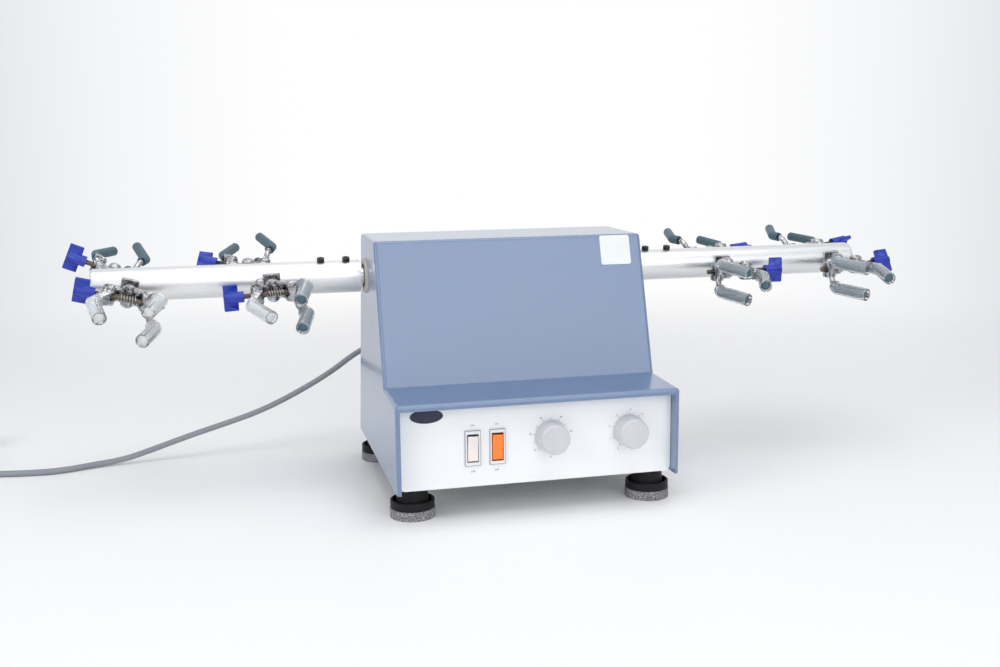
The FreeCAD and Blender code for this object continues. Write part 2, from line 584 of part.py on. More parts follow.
for label, side in (("mains_rocker", "mains_switch_side"), ("run_rocker", "run_switch_side")):
    lean = "rocker_tall / 2 * tan(rocker_swing)"
    rocker = padded(label + "_key", "YZ_Plane", [
        ("2.6 + rocker_depth * 0.2", "-rocker_tall / 2 + 2.5"),
        ("-2 - rocker_tip", "-rocker_tall / 2 + 0.3"),
        ("-2 - rocker_tip + %s * 0.5" % lean, "0"),
        ("-2 - rocker_tip", "rocker_tall / 2 - 0.3"),
        ("2.6 + rocker_depth * 0.2", "rocker_tall / 2 - 2.5"),
    ], "rocker_wide")
    rocker = rounded(rocker, "0.8", lambda edge: edge.BoundBox.XLength > 5
                     and edge.BoundBox.Center.y < -2 and abs(edge.BoundBox.Center.z) > 5)
    put(rocker, side, reach(rocker_pivot), "switch_height",
        FreeCAD.Rotation(X_AXIS, number("rocker_swing / 2")))
    pin = rod(label + "_pin", "rocker_pin", "rocker_wide + 0.6", side + " - rocker_wide / 2 - 0.3",
              reach(rocker_pivot), "switch_height")
    node(label, fuse(label + "_piece", rocker, pin))

# Timer and speed control behind the panel, each with a bush, a nut, a spindle and a knob
control_units = []
for side, half in (("timer_side", "unit_half + 6"), ("speed_side", "unit_half")):
    case = block("unit_case", "2 * (%s)" % half, "unit_deep", "2 * (%s)" % half, side + " - (%s)" % half,
                 reach(panel_back + " + fit_gap"), "knob_height - (%s)" % half)
    bush = rod("unit_bush", "spindle_radius + 2", "panel_sheet + fit_gap + nut_thick + 2", side,
               reach("panel_setback - nut_thick - 1"), "knob_height", "Y")
    nut = rod("unit_nut", "nut_radius", "nut_thick", side, reach("panel_setback - nut_thick"),
              "knob_height", "Y")
    hole = rod("unit_hole", "spindle_radius + run_play", "unit_deep + 10", side,
               reach("panel_setback - nut_thick - 6"), "knob_height", "Y")
    control_units.append(cut("control_unit", fuse("control_unit", case, bush, nut), hole))
node("panel_units", together("panel_units", *switch_bodies, *control_units))

toward_user = FreeCAD.Rotation(X_AXIS, 90)
for label, side in (("timer_knob", "timer_side"), ("speed_knob", "speed_side")):
    knob = revolved(label + "_cap", [
        ("spindle_radius + 0.02", "nut_thick + 2"), ("nut_radius + 2", "nut_thick + 2"),
        ("nut_radius + 2", "0"), ("knob_base_radius", "0"), ("knob_base_radius", "2"),
        ("knob_face_radius + 0.6", "knob_tall - 2"), ("knob_face_radius - 1", "knob_tall"),
        ("0", "knob_tall"), ("0", "knob_tall - 3"), ("spindle_radius + 0.02", "knob_tall - 3"),
    ], side, reach("panel_setback - knob_gap"), "knob_height", toward_user)
    spindle = rod("spindle", "spindle_radius", "spindle_long", side,
                  reach("panel_setback - knob_gap - knob_tall + 3.1"), "knob_height", "Y")
    node(label, together(label + "_set", knob, spindle))

# The rocking shaft and its slotted lever
node("rocker_shaft", rod("rocker_shaft", "shaft_radius", "2 * shaft_half", "-shaft_half", shaft_y,
                         "shaft_height"))
slot_wide = "(2 * cam_radius + 2 * cam_play)"
lever_deep = "(%s + 2 * lever_prong)" % slot_wide
lever = fuse(
    "lever",
    rod("lever_hub", "lever_hub", "lever_wide", "-lever_wide / 2", shaft_y, "shaft_height"),
    block("lever_fork", "lever_wide", lever_deep, "lever_tip - 8", "-lever_wide / 2",
          shaft_y + " - %s / 2" % lever_deep, "shaft_height - lever_tip"))
slot_top = "(crank_drop - crank_throw - cam_radius - 1.5)"
lever = cut("lever", lever,
            block("lever_slot", "lever_wide + 10", slot_wide, "lever_tip - %s + 10" % slot_top,
                  "-lever_wide / 2 - 5", shaft_y + " - %s / 2" % slot_wide, "shaft_height - lever_tip - 10"),
            rod("lever_bore", "shaft_radius + 0.02", "lever_wide + 10", "-lever_wide / 2 - 5", shaft_y,
                "shaft_height"))
node("rocker_lever", lever)

# Each arm is turned on the shaft by its own angle: what follows is built level, then turned
ARM_TURN = {-1: FreeCAD.Rotation(X_AXIS, number("left_tilt")),
            1: FreeCAD.Rotation(X_AXIS, number("right_tilt"))}


def armNode(label, left_pieces, right_pieces):
    """A node of both arms' pieces, each set turned about the shaft with its arm."""
    sets = []
    for side, pieces in ((-1, left_pieces), (1, right_pieces)):
        sets.append(put(together(label + "_set", *pieces), 0, shaft_y, "shaft_height", ARM_TURN[side]))
    return node(label, together(label, *sets))


tube_bore = "(tube_radius - tube_wall)"
tubes, hubs, plugs, cap_screws = [], [], [], []
for side in (-1, 1):
    long = "right_tube_long" if side > 0 else "left_tube_long"
    start = "tube_start" if side > 0 else "-tube_start - " + long
    tube = cut("tube", rod("tube_outside", "tube_radius", long, start, 0, 0),
               rod("tube_inside", tube_bore, long, start, 0, 0))
    hub_start = "tube_start" if side > 0 else "-tube_start - hub_long"
    hub = cut("hub", rod("hub_outside", tube_bore + " - 0.02", "hub_long", hub_start, 0, 0),
              rod("hub_inside", "shaft_radius + 0.02", "hub_long", hub_start, 0, 0))
    for place in ("inner", "outer"):
        name = "screw_%s_%s" % ("left" if side < 0 else "right", place)
        across = "%d * (tube_start + %s)" % (side, name)
        drill = rod("screw_hole", "cap_shank_radius + screw_play", "tube_radius + 5", across, 0, 0, "Z")
        tube = cut("tube", tube, drill)
        hub = cut("hub", hub, drill)
        head = rod("cap_head", "cap_head_radius", "cap_head_tall", across, 0, "tube_radius", "Z")
        socket = rod("cap_socket", "cap_head_radius * 0.5", 3, across, 0, "tube_radius + cap_head_tall - 3", "Z")
        shank = rod("cap_shank", "cap_shank_radius", "tube_radius - shaft_radius - 0.1 + 0.5", across, 0,
                    "shaft_radius + 0.1", "Z")
        cap_screws.append(cut("cap_screw", fuse("cap_screw", head, shank), socket))
    tubes.append(tube)
    hubs.append(hub)
    tube_end = "tube_start + " + long
    stem = rod("plug_stem", tube_bore + " - 0.02", "plug_long",
               tube_end + " - plug_long" if side > 0 else start, 0, 0)
    rim = rod("plug_rim", "tube_radius - 0.8", "plug_rim",
              tube_end if side > 0 else start + " - plug_rim", 0, 0)
    plugs.append(fuse("tube_plug", stem, rim))
armNode("arm_tubes", tubes[:1], tubes[1:])
armNode("arm_hubs", hubs[:1], hubs[1:])
armNode("tube_plugs", plugs[:1], plugs[1:])
armNode("arm_screws", cap_screws[:2], cap_screws[2:])

# One clamp, built facing -Y about the tube's axis, its wing knob towards +X
boss = fuse(
    "boss_body",
    block("boss_block", "2 * boss_half_wide", "boss_face - 8", "2 * boss_half_tall",
          "-boss_half_wide", "-boss_face", "-boss_half_tall"),
    block("boss_neck", "eye_radius * 1.6", "pivot_reach - boss_face + 1", "2 * boss_lug",
          "-eye_radius * 0.8", "-pivot_reach", "-boss_lug"),
    rod("boss_eye", "eye_radius", "2 * boss_lug", 0, "-pivot_reach", "-boss_lug", "Z"))
pin_hole = rod("pin_hole", "pivot_radius + run_play", 60, 0, "-pivot_reach", -30, "Z")
boss = cut("clamp_boss", boss, pin_hole)
pin_top = "(double_lug + 0.3)"
pivot_pin = fuse(
    "pivot_pin",
    rod("pin_shank", "pivot_radius", "2 * %s + 0.5" % pin_top, 0, "-pivot_reach", "-%s" % pin_top, "Z"),
    rod("pin_foot", "pivot_radius + 2", 2, 0, "-pivot_reach", "-%s - 2" % pin_top, "Z"),
    revolved("pin_dome", [(0, 0), ("dome_radius", 0), ("dome_radius", "dome_tall * 0.35"),
                          ("dome_radius * 0.8", "dome_tall * 0.75"), ("dome_radius * 0.45", "dome_tall"),
                          (0, "dome_tall")], 0, "-pivot_reach", pin_top))

# A finger leaves its jaw as a stub leaning outwards and bends inwards at its elbow
stub_side = "(root_side - stub_long * sin(stub_angle))"
stub_reach = "(root_reach - stub_long * cos(stub_angle))"
yoke_side = "(%s - fork_sag * sin(stub_angle))" % stub_side
yoke_reach = "(%s - fork_sag * cos(stub_angle))" % stub_reach

# Plan outlines of the jaws: eye, barrel for the screw, then the finger's stub or the yoke
jaw_heel = [
    ("2", "-pivot_reach + 5.5"), ("jaw_spread - 5", "-pivot_reach + 0.5"),
    ("jaw_spread + 4", "-screw_reach + 5.5"), ("jaw_spread + 6", "-screw_reach"),
]
jaw_belly = [
    ("jaw_spread - 6", "-screw_reach - 2"), ("jaw_spread - 8", "-pivot_reach - 6.2"),
    ("2", "-pivot_reach - 5.2"),
]
single_plan = jaw_heel + [
    ("jaw_spread + 6.5", "-screw_reach - 8"), (stub_side + " + 3.6", "-%s - 1" % stub_reach),
    (stub_side + " - 3.6", "-%s - 1" % stub_reach), ("jaw_spread - 5", "-screw_reach - 9"),
] + jaw_belly
double_plan = jaw_heel + [
    (yoke_side + " + 4", "-%s - 1" % yoke_reach), (yoke_side + " + 2.6", "-%s - 3.2" % yoke_reach),
    (yoke_side + " - 2.6", "-%s - 3.2" % yoke_reach), (yoke_side + " - 7", "-%s + 1" % yoke_reach),
] + jaw_belly


def jawWeb(name, lug, side, plan):
    """The jaw's cast body with its eye and the barrel, open at its ends, that takes the screw."""
    web = padded(name, "XY_Plane", [(("%d * (%s)" % (side, u)), v) for u, v in plan], "2 * " + lug)
    eye = rod(name + "_eye", "eye_radius", "2 * " + lug, 0, "-pivot_reach", "-" + lug, "Z")
    across = "%d * jaw_spread" % side
    barrel = revolved(name + "_barrel", [
        (0, "-barrel_half - barrel_rim + barrel_sink"),
        ("barrel_radius - barrel_lip - 0.6", "-barrel_half - barrel_rim + barrel_sink"),
        ("barrel_radius - barrel_lip", "-barrel_half - barrel_rim"),
        ("barrel_radius - 0.4", "-barrel_half - barrel_rim"), ("barrel_radius", "-barrel_half"),
        ("barrel_radius", "barrel_half"), ("barrel_radius - 0.4", "barrel_half + barrel_rim"),
        ("barrel_radius - barrel_lip", "barrel_half + barrel_rim"),
        ("barrel_radius - barrel_lip - 0.6", "barrel_half + barrel_rim - barrel_sink"),
        (0, "barrel_half + barrel_rim - barrel_sink"),
    ], across, "-screw_reach", 0)
    return fuse(name, web, eye, barrel)


def screwSlot(side, opening):
    """A slot along Y, so that the jaw may turn about its pivot past the straight rod."""
    start = "%d * jaw_spread - 12" % side
    radius = "rod_radius + rod_play"
    ends = [rod("slot_end", radius, 24, start, "-screw_reach - %s" % opening, 0),
            rod("slot_end", radius, 24, start, "-screw_reach + slot_close", 0)]
    middle = block("slot_middle", 24, "%s + slot_close" % opening, "2 * (%s)" % radius, start,
                   "-screw_reach - %s" % opening, "-(%s)" % radius)
    return fuse("screw_slot", middle, *ends)


def bentBar(name, side, lift, radius, before, beyond, tip=""):
    """A round bar through a finger's elbow: so far before it along the stub, so far beyond it,
    and a tapered tip where one is asked for."""
    outward = FreeCAD.Rotation(Z_AXIS, side * number("stub_angle")).multiply(FreeCAD.Rotation(X_AXIS, 90))
    inward = FreeCAD.Rotation(Z_AXIS, -side * number("finger_angle")).multiply(FreeCAD.Rotation(X_AXIS, 90))
    across = "%d * root_side" % side
    stub = doc.addObject("Part::Cylinder", fresh(name + "_stub"))
    bind(stub, Radius=radius, Height=before)
    put(stub, "%s - %d * (%s) * sin(stub_angle)" % (across, side, before),
        "-root_reach + (%s) * cos(stub_angle)" % before, lift, outward)
    elbow = doc.addObject("Part::Sphere", fresh(name + "_elbow"))
    bind(elbow, Radius=radius)
    put(elbow, across, "-root_reach", lift)
    run = doc.addObject("Part::Cylinder", fresh(name + "_run"))
    bind(run, Radius=radius, Height=beyond)
    put(run, across, "-root_reach", lift, inward)
    if not tip:
        return fuse(name, stub, elbow, run)
    end = doc.addObject("Part::Cone", fresh(name + "_end"))
    bind(end, Radius1=radius, Radius2="%s - %s" % (radius, tip), Height=tip)
    put(end, "%s - %d * (%s) * sin(finger_angle)" % (across, side, beyond),
        "-root_reach - (%s) * cos(finger_angle)" % beyond, lift, inward)
    return fuse(name, stub, elbow, run, end)


def finger(side, lift):
    """One finger with its rubber cap and the clear tube that may go over it."""
    steel = bentBar("finger", side, lift, "finger_radius", "stub_long + 1", "finger_long")
    rubber = cut("rubber_sleeve",
                 bentBar("rubber", side, lift, "rubber_radius", "stub_long - rubber_start",
                         "rubber_end - cap_round", "cap_round"),
                 bentBar("rubber_bore", side, lift, "finger_radius + run_play", "stub_long + 2",
                         "finger_long + 0.3"))
    clear = cut("clear_tube",
                bentBar("clear", side, lift, "clear_radius", "stub_long - clear_start", "clear_end"),
                bentBar("clear_bore", side, lift, "rubber_radius + run_play", "stub_long + 2",
                        "clear_end + 3"))
    return steel, rubber, clear


steel, single_rubber, single_clear = finger(1, 0)
single_jaw = fuse("single_jaw", jawWeb("single_web", "single_lug", 1, single_plan), steel)
single_jaw = cut("single_jaw", single_jaw, pin_hole, screwSlot(1, "slot_open"),
                 rod("single_gap", "eye_radius + 1.6", "2 * (boss_lug + fit_gap)", 0, "-pivot_reach",
                     "-(boss_lug + fit_gap)", "Z"))

# The double jaw ends in a U-shaped yoke, a piece of a ring that opens towards the fingers
double_steel, double_rubbers, double_clears = [], [], []
for lift in ("fork_half", "-fork_half"):
    steel, rubber, clear = finger(-1, lift)
    double_steel.append(steel)
    double_rubbers.append(rubber)
    double_clears.append(clear)
bend = "((fork_half ^ 2 + fork_sag ^ 2) / (2 * fork_sag))"
lean = math.radians(number("stub_angle"))
forward = FreeCAD.Vector(-math.sin(lean), -math.cos(lean), 0)
half_sweep = math.asin(number("fork_half") / number(bend))
first = forward * -math.cos(half_sweep) - Z_AXIS * math.sin(half_sweep)
second = forward * -math.sin(half_sweep) + Z_AXIS * math.cos(half_sweep)
yoke = doc.addObject("Part::Torus", "yoke")
bind(yoke, Radius1=bend, Radius2="fork_section", Angle3="2 * asin(fork_half / %s)" % bend)
put(yoke, "-%s - (%s - fork_sag) * sin(stub_angle)" % (stub_side, bend),
    "-%s - (%s - fork_sag) * cos(stub_angle)" % (stub_reach, bend), 0,
    FreeCAD.Rotation(first, second, first.cross(second), "ZXY"))
double_jaw = fuse("double_jaw", jawWeb("double_web", "double_lug", -1, double_plan), yoke, *double_steel)
double_jaw = cut("double_jaw", double_jaw, pin_hole, screwSlot(-1, "fork_slot_open"),
                 rod("double_gap", "eye_radius + 1.6", "2 * (single_lug + fit_gap)", 0, "-pivot_reach",
                     "-(single_lug + fit_gap)", "Z"))

# The clamp screw: threaded rod, wing knob and the spring that holds the jaws apart
screw_rod = rod("screw_rod", "rod_radius", "rod_tail + hub_start + 4", "-rod_tail", "-screw_reach", 0)
wing = padded("wing", "YZ_Plane", [
    ("-wing_tip_thick / 2", "-wing_span / 2"), ("wing_tip_thick / 2", "-wing_span / 2"),
    ("wing_thick / 2", "0"), ("wing_tip_thick / 2", "wing_span / 2"),
    ("-wing_tip_thick / 2", "wing_span / 2"), ("-wing_thick / 2", "0"),
], "wing_end - wing_start")
wing = rounded(wing, "wing_round", lambda edge: abs(edge.BoundBox.Center.z) > number("wing_span / 2") - 0.5)
put(wing, "(wing_end + wing_start) / 2", 0, 0)
knob = cut("wing_knob", fuse("wing_knob", wing, rod("wing_hub", "hub_radius", "hub_end - hub_start",
                                                    "hub_start", 0, 0)),
           rod("wing_bore", "rod_radius + 0.02", "4.1", "hub_start", 0, 0))
ridges = []
turns = 6
pitch = "(2 * spring_half / %d)" % turns
for index in range(turns):
    start = "-spring_half + %d * %s" % (index, pitch)
    ridges.append(cone("spring_turn", "spring_radius - spring_wire", "spring_radius", pitch + " / 2",
                       start, "-screw_reach", 0))
    ridges.append(cone("spring_turn", "spring_radius", "spring_radius - spring_wire", pitch + " / 2",
                       start + " + %s / 2" % pitch, "-screw_reach", 0))
spring = cut("clamp_spring", fuse("clamp_spring", *ridges),
             rod("spring_bore", "rod_radius + 0.05", "2 * spring_half + 4", "-spring_half - 2",
                 "-screw_reach", 0))

# Where each clamp stands: front or back, how far it is turned on its boss, how far the screw
# is swung about the pivot pin, how far each jaw is opened from it, and how far the screw is
# out and turned. The station along the arm is the size that has the clamp's name.
CLAMPS = {
    "front_left_outer": {"back": 0, "roll": -14, "swing": 2.5, "single": 9, "double": 11, "out": -5,
                         "wing": -12},
    "front_left_inner": {"back": 0, "roll": 2, "swing": -5.5, "single": 4.5, "double": 6, "out": -4.5,
                         "wing": 4},
    "front_right_inner": {"back": 0, "roll": 0.5, "swing": -2.5, "single": 4, "double": -1, "out": 4.5,
                          "wing": -8},
    "front_right_outer": {"back": 0, "roll": 4.5, "swing": 3, "single": 7.5, "double": 2.5, "out": 4.5,
                          "wing": -35},
    "rear_left_outer": {"back": 1, "roll": 23.5, "swing": 0.5, "single": -5, "double": 7.5, "out": -7.5,
                        "wing": 8},
    "rear_left_inner": {"back": 1, "roll": 6.5, "swing": -8.5, "single": 9.5, "double": -3.5, "out": -2,
                        "wing": 65},
    "rear_right_inner": {"back": 1, "roll": -4.5, "swing": -7, "single": 14, "double": 5, "out": 1.5,
                         "wing": 78},
    "rear_right_outer": {"back": 1, "roll": -7, "swing": -9.5, "single": 13, "double": -5, "out": 7.5,
                         "wing": 60},
}


def clampFrame(label, back, roll):
    """From the clamp's own frame to the object's: which side, front or back, tilt and roll."""
    side = -1 if "_left_" in label else 1
    turn = FreeCAD.Rotation(X_AXIS, number("left_tilt" if side < 0 else "right_tilt") + 180 * back)
    turn = turn.multiply(FreeCAD.Rotation(Y_AXIS, 0 if side > 0 else 180))
    turn = turn.multiply(FreeCAD.Rotation(Y_AXIS, -roll))
    across = side * number("tube_start + " + label)
    return FreeCAD.Placement(FreeCAD.Vector(across, number(shaft_y), number("shaft_height")), turn)


def aboutPivot(degrees):
    spot = FreeCAD.Vector(0, -number("pivot_reach"), 0)
    return FreeCAD.Placement(FreeCAD.Vector(), FreeCAD.Rotation(Z_AXIS, degrees), spot)


def clampPiece(label, items, frame, move):
    piece = together(label, *items)
    placed = frame.multiply(move)
    return node(label, put(piece, placed.Base.x, placed.Base.y, placed.Base.z, placed.Rotation))


all_bosses = []
for label, stand in CLAMPS.items():
    frame = clampFrame(label, stand["back"], stand["roll"])
    tube_way = together("tube_way", rod("boss_seat", "tube_radius + 0.02", 60, -30, 0, 0))
    put(tube_way, 0, 0, 0, FreeCAD.Rotation(Y_AXIS, stand["roll"]))
    seat = together("boss_set", cut("clamp_boss", boss, tube_way), pivot_pin)
    seat.Placement = frame
    if label == "front_right_inner":
        node("clamp_boss_" + label, seat)
    else:
        all_bosses.append(seat)
    single_set, double_set = [single_jaw, single_rubber], [double_jaw] + double_rubbers
    if not stand["back"]:
        single_set.append(single_clear)
        double_set += double_clears
    swing = stand["swing"]
    clampPiece("single_jaw_" + label, single_set, frame, aboutPivot(swing + stand["single"]))
    clampPiece("double_jaw_" + label, double_set, frame, aboutPivot(swing - stand["double"]))
    stem = together("stem_set", screw_rod)
    put(stem, stand["out"])
    grip = together("knob_set", knob)
    put(grip, stand["out"], "-screw_reach", 0, FreeCAD.Rotation(X_AXIS, stand["wing"]))
    clampPiece("clamp_screw_" + label, [stem, spring, grip], frame, aboutPivot(swing))
node("clamp_bosses", together("clamp_bosses", *all_bosses))

# The mains lead: a gland in the rear wall, the lead down to the bench and away to the left,
# a coil beyond, and a plug
wall_y = reach(gland_wall)
gland = fuse(
    "gland",
    rod("gland_stem", "gland_radius - 2", 14, "gland_side", wall_y + " - 8", "gland_height", "Y"),
    rod("gland_flange", "gland_radius", 4, "gland_side", wall_y + " + 2.2", "gland_height", "Y"),
    cone("gland_relief", "gland_radius - 2", "cord_radius + 0.8", "relief_long", "gland_side",
         wall_y + " + 5", "gland_height", "Y"))
node("cord_gland", gland)

# Points of the lead's route, from the gland to the coil, then its height over the bench is kept
CORD_ROUTE = [(-100, 301, 131), (-102, 321, 131), (-114, 338, 128.5), (-142, 346, 118), (-178.6, 346, 91.4),
              (-223.9, 342, 67.8), (-268.5, 337, 49.2), (-311, 332, 37.8), (-353, 326.5, 27.3),
              (-394, 321, 15.6), (-430, 317.5, 5.5), (-466, 310, 3.6), (-502, 294, 3.6),
              (-541, 295.5, 3.6), (-578, 303, 3.6), (-606, 300, 3.6), (-632, 299.5, 3.6)]


def softPath(points):
    """Straight runs joined by tangent arcs as large as the runs allow, and its least radius."""
    spots = [FreeCAD.Vector(*point) for point in points]
    edges, radii, here = [], [], spots[0]
    for before, corner, after in zip(spots, spots[1:], spots[2:]):
        way_in = (corner - before).normalize()
        way_out = (after - corner).normalize()
        turn = way_in.getAngle(way_out)
        shorter = min((corner - before).Length, (after - corner).Length)
        trim = 0.45 * shorter
        radii.append(trim / math.tan(turn / 2))
        start, end = corner - way_in * trim, corner + way_out * trim
        heart = (way_out - way_in).normalize()
        middle = corner + heart * (trim / math.sin(turn / 2) * (1 / math.cos(turn / 2) - 1) * math.cos(turn / 2))
        edges.append(Part.LineSegment(here, start).toShape())
        edges.append(Part.Arc(start, middle, end).toShape())
        here = end
    edges.append(Part.LineSegment(here, spots[-1]).toShape())
    return Part.Wire(edges), radii


def cordTube(points):
    path, radii = softPath(points)
    first = path.Edges[0].tangentAt(path.Edges[0].FirstParameter)
    circle = Part.Wire(Part.Circle(FreeCAD.Vector(*points[0]), first, number("cord_radius")).toShape())
    tube = path.makePipeShell([circle], True, False)
    expected = math.pi * number("cord_radius") ** 2 * path.Length
    print("lead: length %.1f, least radius %.1f, volume ratio %.4f"
          % (path.Length, min(radii) if radii else 0, tube.Volume / expected))
    return tube


start_y = number(gland_wall + " + 5 + relief_long")
lead_route = [(x, y + number("front_edge"), z) for x, y, z in CORD_ROUTE]
lead_route[0] = (number("gland_side"), start_y + number("front_edge"), number("gland_height"))
coil_y = number(reach("coil_reach"))
tail_x = number("coil_side") + 8
tail_route = [(tail_x, coil_y + 46, 3.6), (tail_x, coil_y + 46 + number("tail_long"), 3.6)]
lead = doc.addObject("Part::Feature", "lead")
lead.Shape = Part.makeCompound([cordTube(lead_route), Part.makeCylinder(
    number("cord_radius"), number("tail_long"), FreeCAD.Vector(*tail_route[0]), Y_AXIS)])
node("mains_cord", lead)

coil = revolved("coil", [
    ("coil_radius - coil_half_wide + 3", "0.1"), ("coil_radius + coil_half_wide - 3", "0.1"),
    ("coil_radius + coil_half_wide", "3.5"), ("coil_radius + coil_half_wide", "coil_tall - 3.5"),
    ("coil_radius + coil_half_wide - 3", "coil_tall"), ("coil_radius - coil_half_wide + 3", "coil_tall"),
    ("coil_radius - coil_half_wide", "coil_tall - 3.5"), ("coil_radius - coil_half_wide", "3.5"),
], "coil_side", reach("coil_reach"), 0)
node("cord_coil", coil)

plug_y = tail_route[1][1]
plug = padded("plug_body", "XY_Plane", [
    ("-8", "0"), ("8", "0"), ("plug_wide / 2", "14"), ("plug_wide / 2", "plug_deep"),
    ("-plug_wide / 2", "plug_deep"), ("-plug_wide / 2", "14"),
], "plug_body_tall")
plug = rounded(plug, 3, lambda edge: edge.BoundBox.ZLength > 10)
prongs = [block("prong", 6.3, 18, 4, "%d - 3.15" % (11 * side), "plug_deep - 1", -2) for side in (-1, 1)]
prongs.append(block("prong", 4, 22, 8, -2, "plug_deep - 1", 4))
plug = fuse("plug", plug, *prongs)
put(plug, tail_x, plug_y, "plug_body_tall / 2 + 0.1")
node("mains_plug", plug)

doc.recompute()
faults = []
for thing in doc.Objects:
    if "Invalid" in thing.State or "Error" in thing.State:
        faults.append(thing.Name + " " + str(thing.State))
for thing in nodes:
    if thing.Shape.isNull() or not thing.Shape.isValid() or not thing.Shape.Solids:
        faults.append(thing.Label + " has no sound shape")
if faults:
    raise RuntimeError("; ".join(faults))
for thing in nodes:
    thing.Shape.exportStep("parts/%s.step" % thing.Label)
print("%d nodes" % len(nodes))
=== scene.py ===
import json
import math

import bmesh
import bpy
from mathutils import Matrix, Vector


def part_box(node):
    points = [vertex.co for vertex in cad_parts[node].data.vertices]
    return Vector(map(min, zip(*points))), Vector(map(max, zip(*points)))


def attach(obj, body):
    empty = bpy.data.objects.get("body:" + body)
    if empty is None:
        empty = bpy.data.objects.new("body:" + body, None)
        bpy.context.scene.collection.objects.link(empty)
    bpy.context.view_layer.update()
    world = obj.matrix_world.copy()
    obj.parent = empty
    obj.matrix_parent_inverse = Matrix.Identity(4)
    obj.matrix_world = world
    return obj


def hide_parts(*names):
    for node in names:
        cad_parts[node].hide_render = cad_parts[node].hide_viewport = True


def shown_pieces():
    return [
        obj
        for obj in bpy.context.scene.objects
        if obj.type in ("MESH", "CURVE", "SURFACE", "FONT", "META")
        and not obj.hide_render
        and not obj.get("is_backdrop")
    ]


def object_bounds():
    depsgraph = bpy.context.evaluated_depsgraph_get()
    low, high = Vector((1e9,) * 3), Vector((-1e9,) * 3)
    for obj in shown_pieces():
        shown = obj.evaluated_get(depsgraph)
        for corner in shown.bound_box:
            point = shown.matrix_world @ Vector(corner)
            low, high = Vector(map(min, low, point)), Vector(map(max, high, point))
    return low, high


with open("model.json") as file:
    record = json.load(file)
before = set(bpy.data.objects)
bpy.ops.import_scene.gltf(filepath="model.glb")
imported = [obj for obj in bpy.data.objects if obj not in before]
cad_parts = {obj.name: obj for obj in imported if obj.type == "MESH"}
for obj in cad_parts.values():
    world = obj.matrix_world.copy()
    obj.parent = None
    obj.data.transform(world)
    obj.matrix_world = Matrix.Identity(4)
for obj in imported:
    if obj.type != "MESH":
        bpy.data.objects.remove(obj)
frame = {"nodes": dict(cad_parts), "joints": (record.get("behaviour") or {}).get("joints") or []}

# A bench flask shaker on a white table: blue-grey housing, white panel, two rocking arms
# of bright tube and eight three-finger clamps. Metres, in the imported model's own frame.

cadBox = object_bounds()
clampNames = [end + "_" + side + "_" + place for end in ("front", "rear")
              for side in ("left", "right") for place in ("outer", "inner")]
print("stage: model loaded,", len(frame["nodes"]), "nodes")

eye = {"place": (-0.31947, -1.26768, 0.39522), "turn": -13.92, "down": 10.0, "roll": -0.51,
       "lens": 42.27, "sensor": 36.0}


def addCamera():
    lensData = bpy.data.cameras.new("benchCamera")
    lensData.lens, lensData.sensor_width = eye["lens"], eye["sensor"]
    camera = bpy.data.objects.new("benchCamera", lensData)
    bpy.context.scene.collection.objects.link(camera)
    aim = (Matrix.Rotation(math.radians(eye["turn"]), 4, "Z")
           @ Matrix.Rotation(math.radians(90 - eye["down"]), 4, "X")
           @ Matrix.Rotation(math.radians(eye["roll"]), 4, "Z"))
    camera.matrix_world = Matrix.Translation(eye["place"]) @ aim
    bpy.context.scene.camera = camera


addCamera()

lead = {
    "radius": 0.0035, "floor": 0.0036, "edge": -0.1535,
    # from the gland in the rear wall to the coil; y is counted from the housing's front edge
    "route": [(-0.1, 0.301, 0.131), (-0.102, 0.321, 0.131), (-0.114, 0.338, 0.1285),
              (-0.142, 0.346, 0.118), (-0.1786, 0.346, 0.0914), (-0.2239, 0.342, 0.0678),
              (-0.2685, 0.337, 0.0492), (-0.311, 0.332, 0.0378), (-0.353, 0.3265, 0.0273),
              (-0.394, 0.321, 0.0156), (-0.43, 0.3175, 0.0055), (-0.466, 0.31, 0.0036),
              (-0.502, 0.294, 0.0036), (-0.541, 0.2955, 0.0036), (-0.578, 0.303, 0.0036),
              (-0.606, 0.3, 0.0036), (-0.632, 0.2995, 0.0036)],
    "coilMiddle": (-0.639, 0.345), "coilStep": 0.0072, "coilOuter": 0.0455, "layerTop": 0.0104,
    "turns": 5, "turnPoints": 12, "lastPoints": 4,
    # from the coil to the plug, counted from the coil's middle
    "tail": [(-0.041, 0.027, 0.0104), (-0.026, 0.047, 0.0085), (-0.006, 0.06, 0.006),
             (0.0075, 0.073, 0.006)],
}


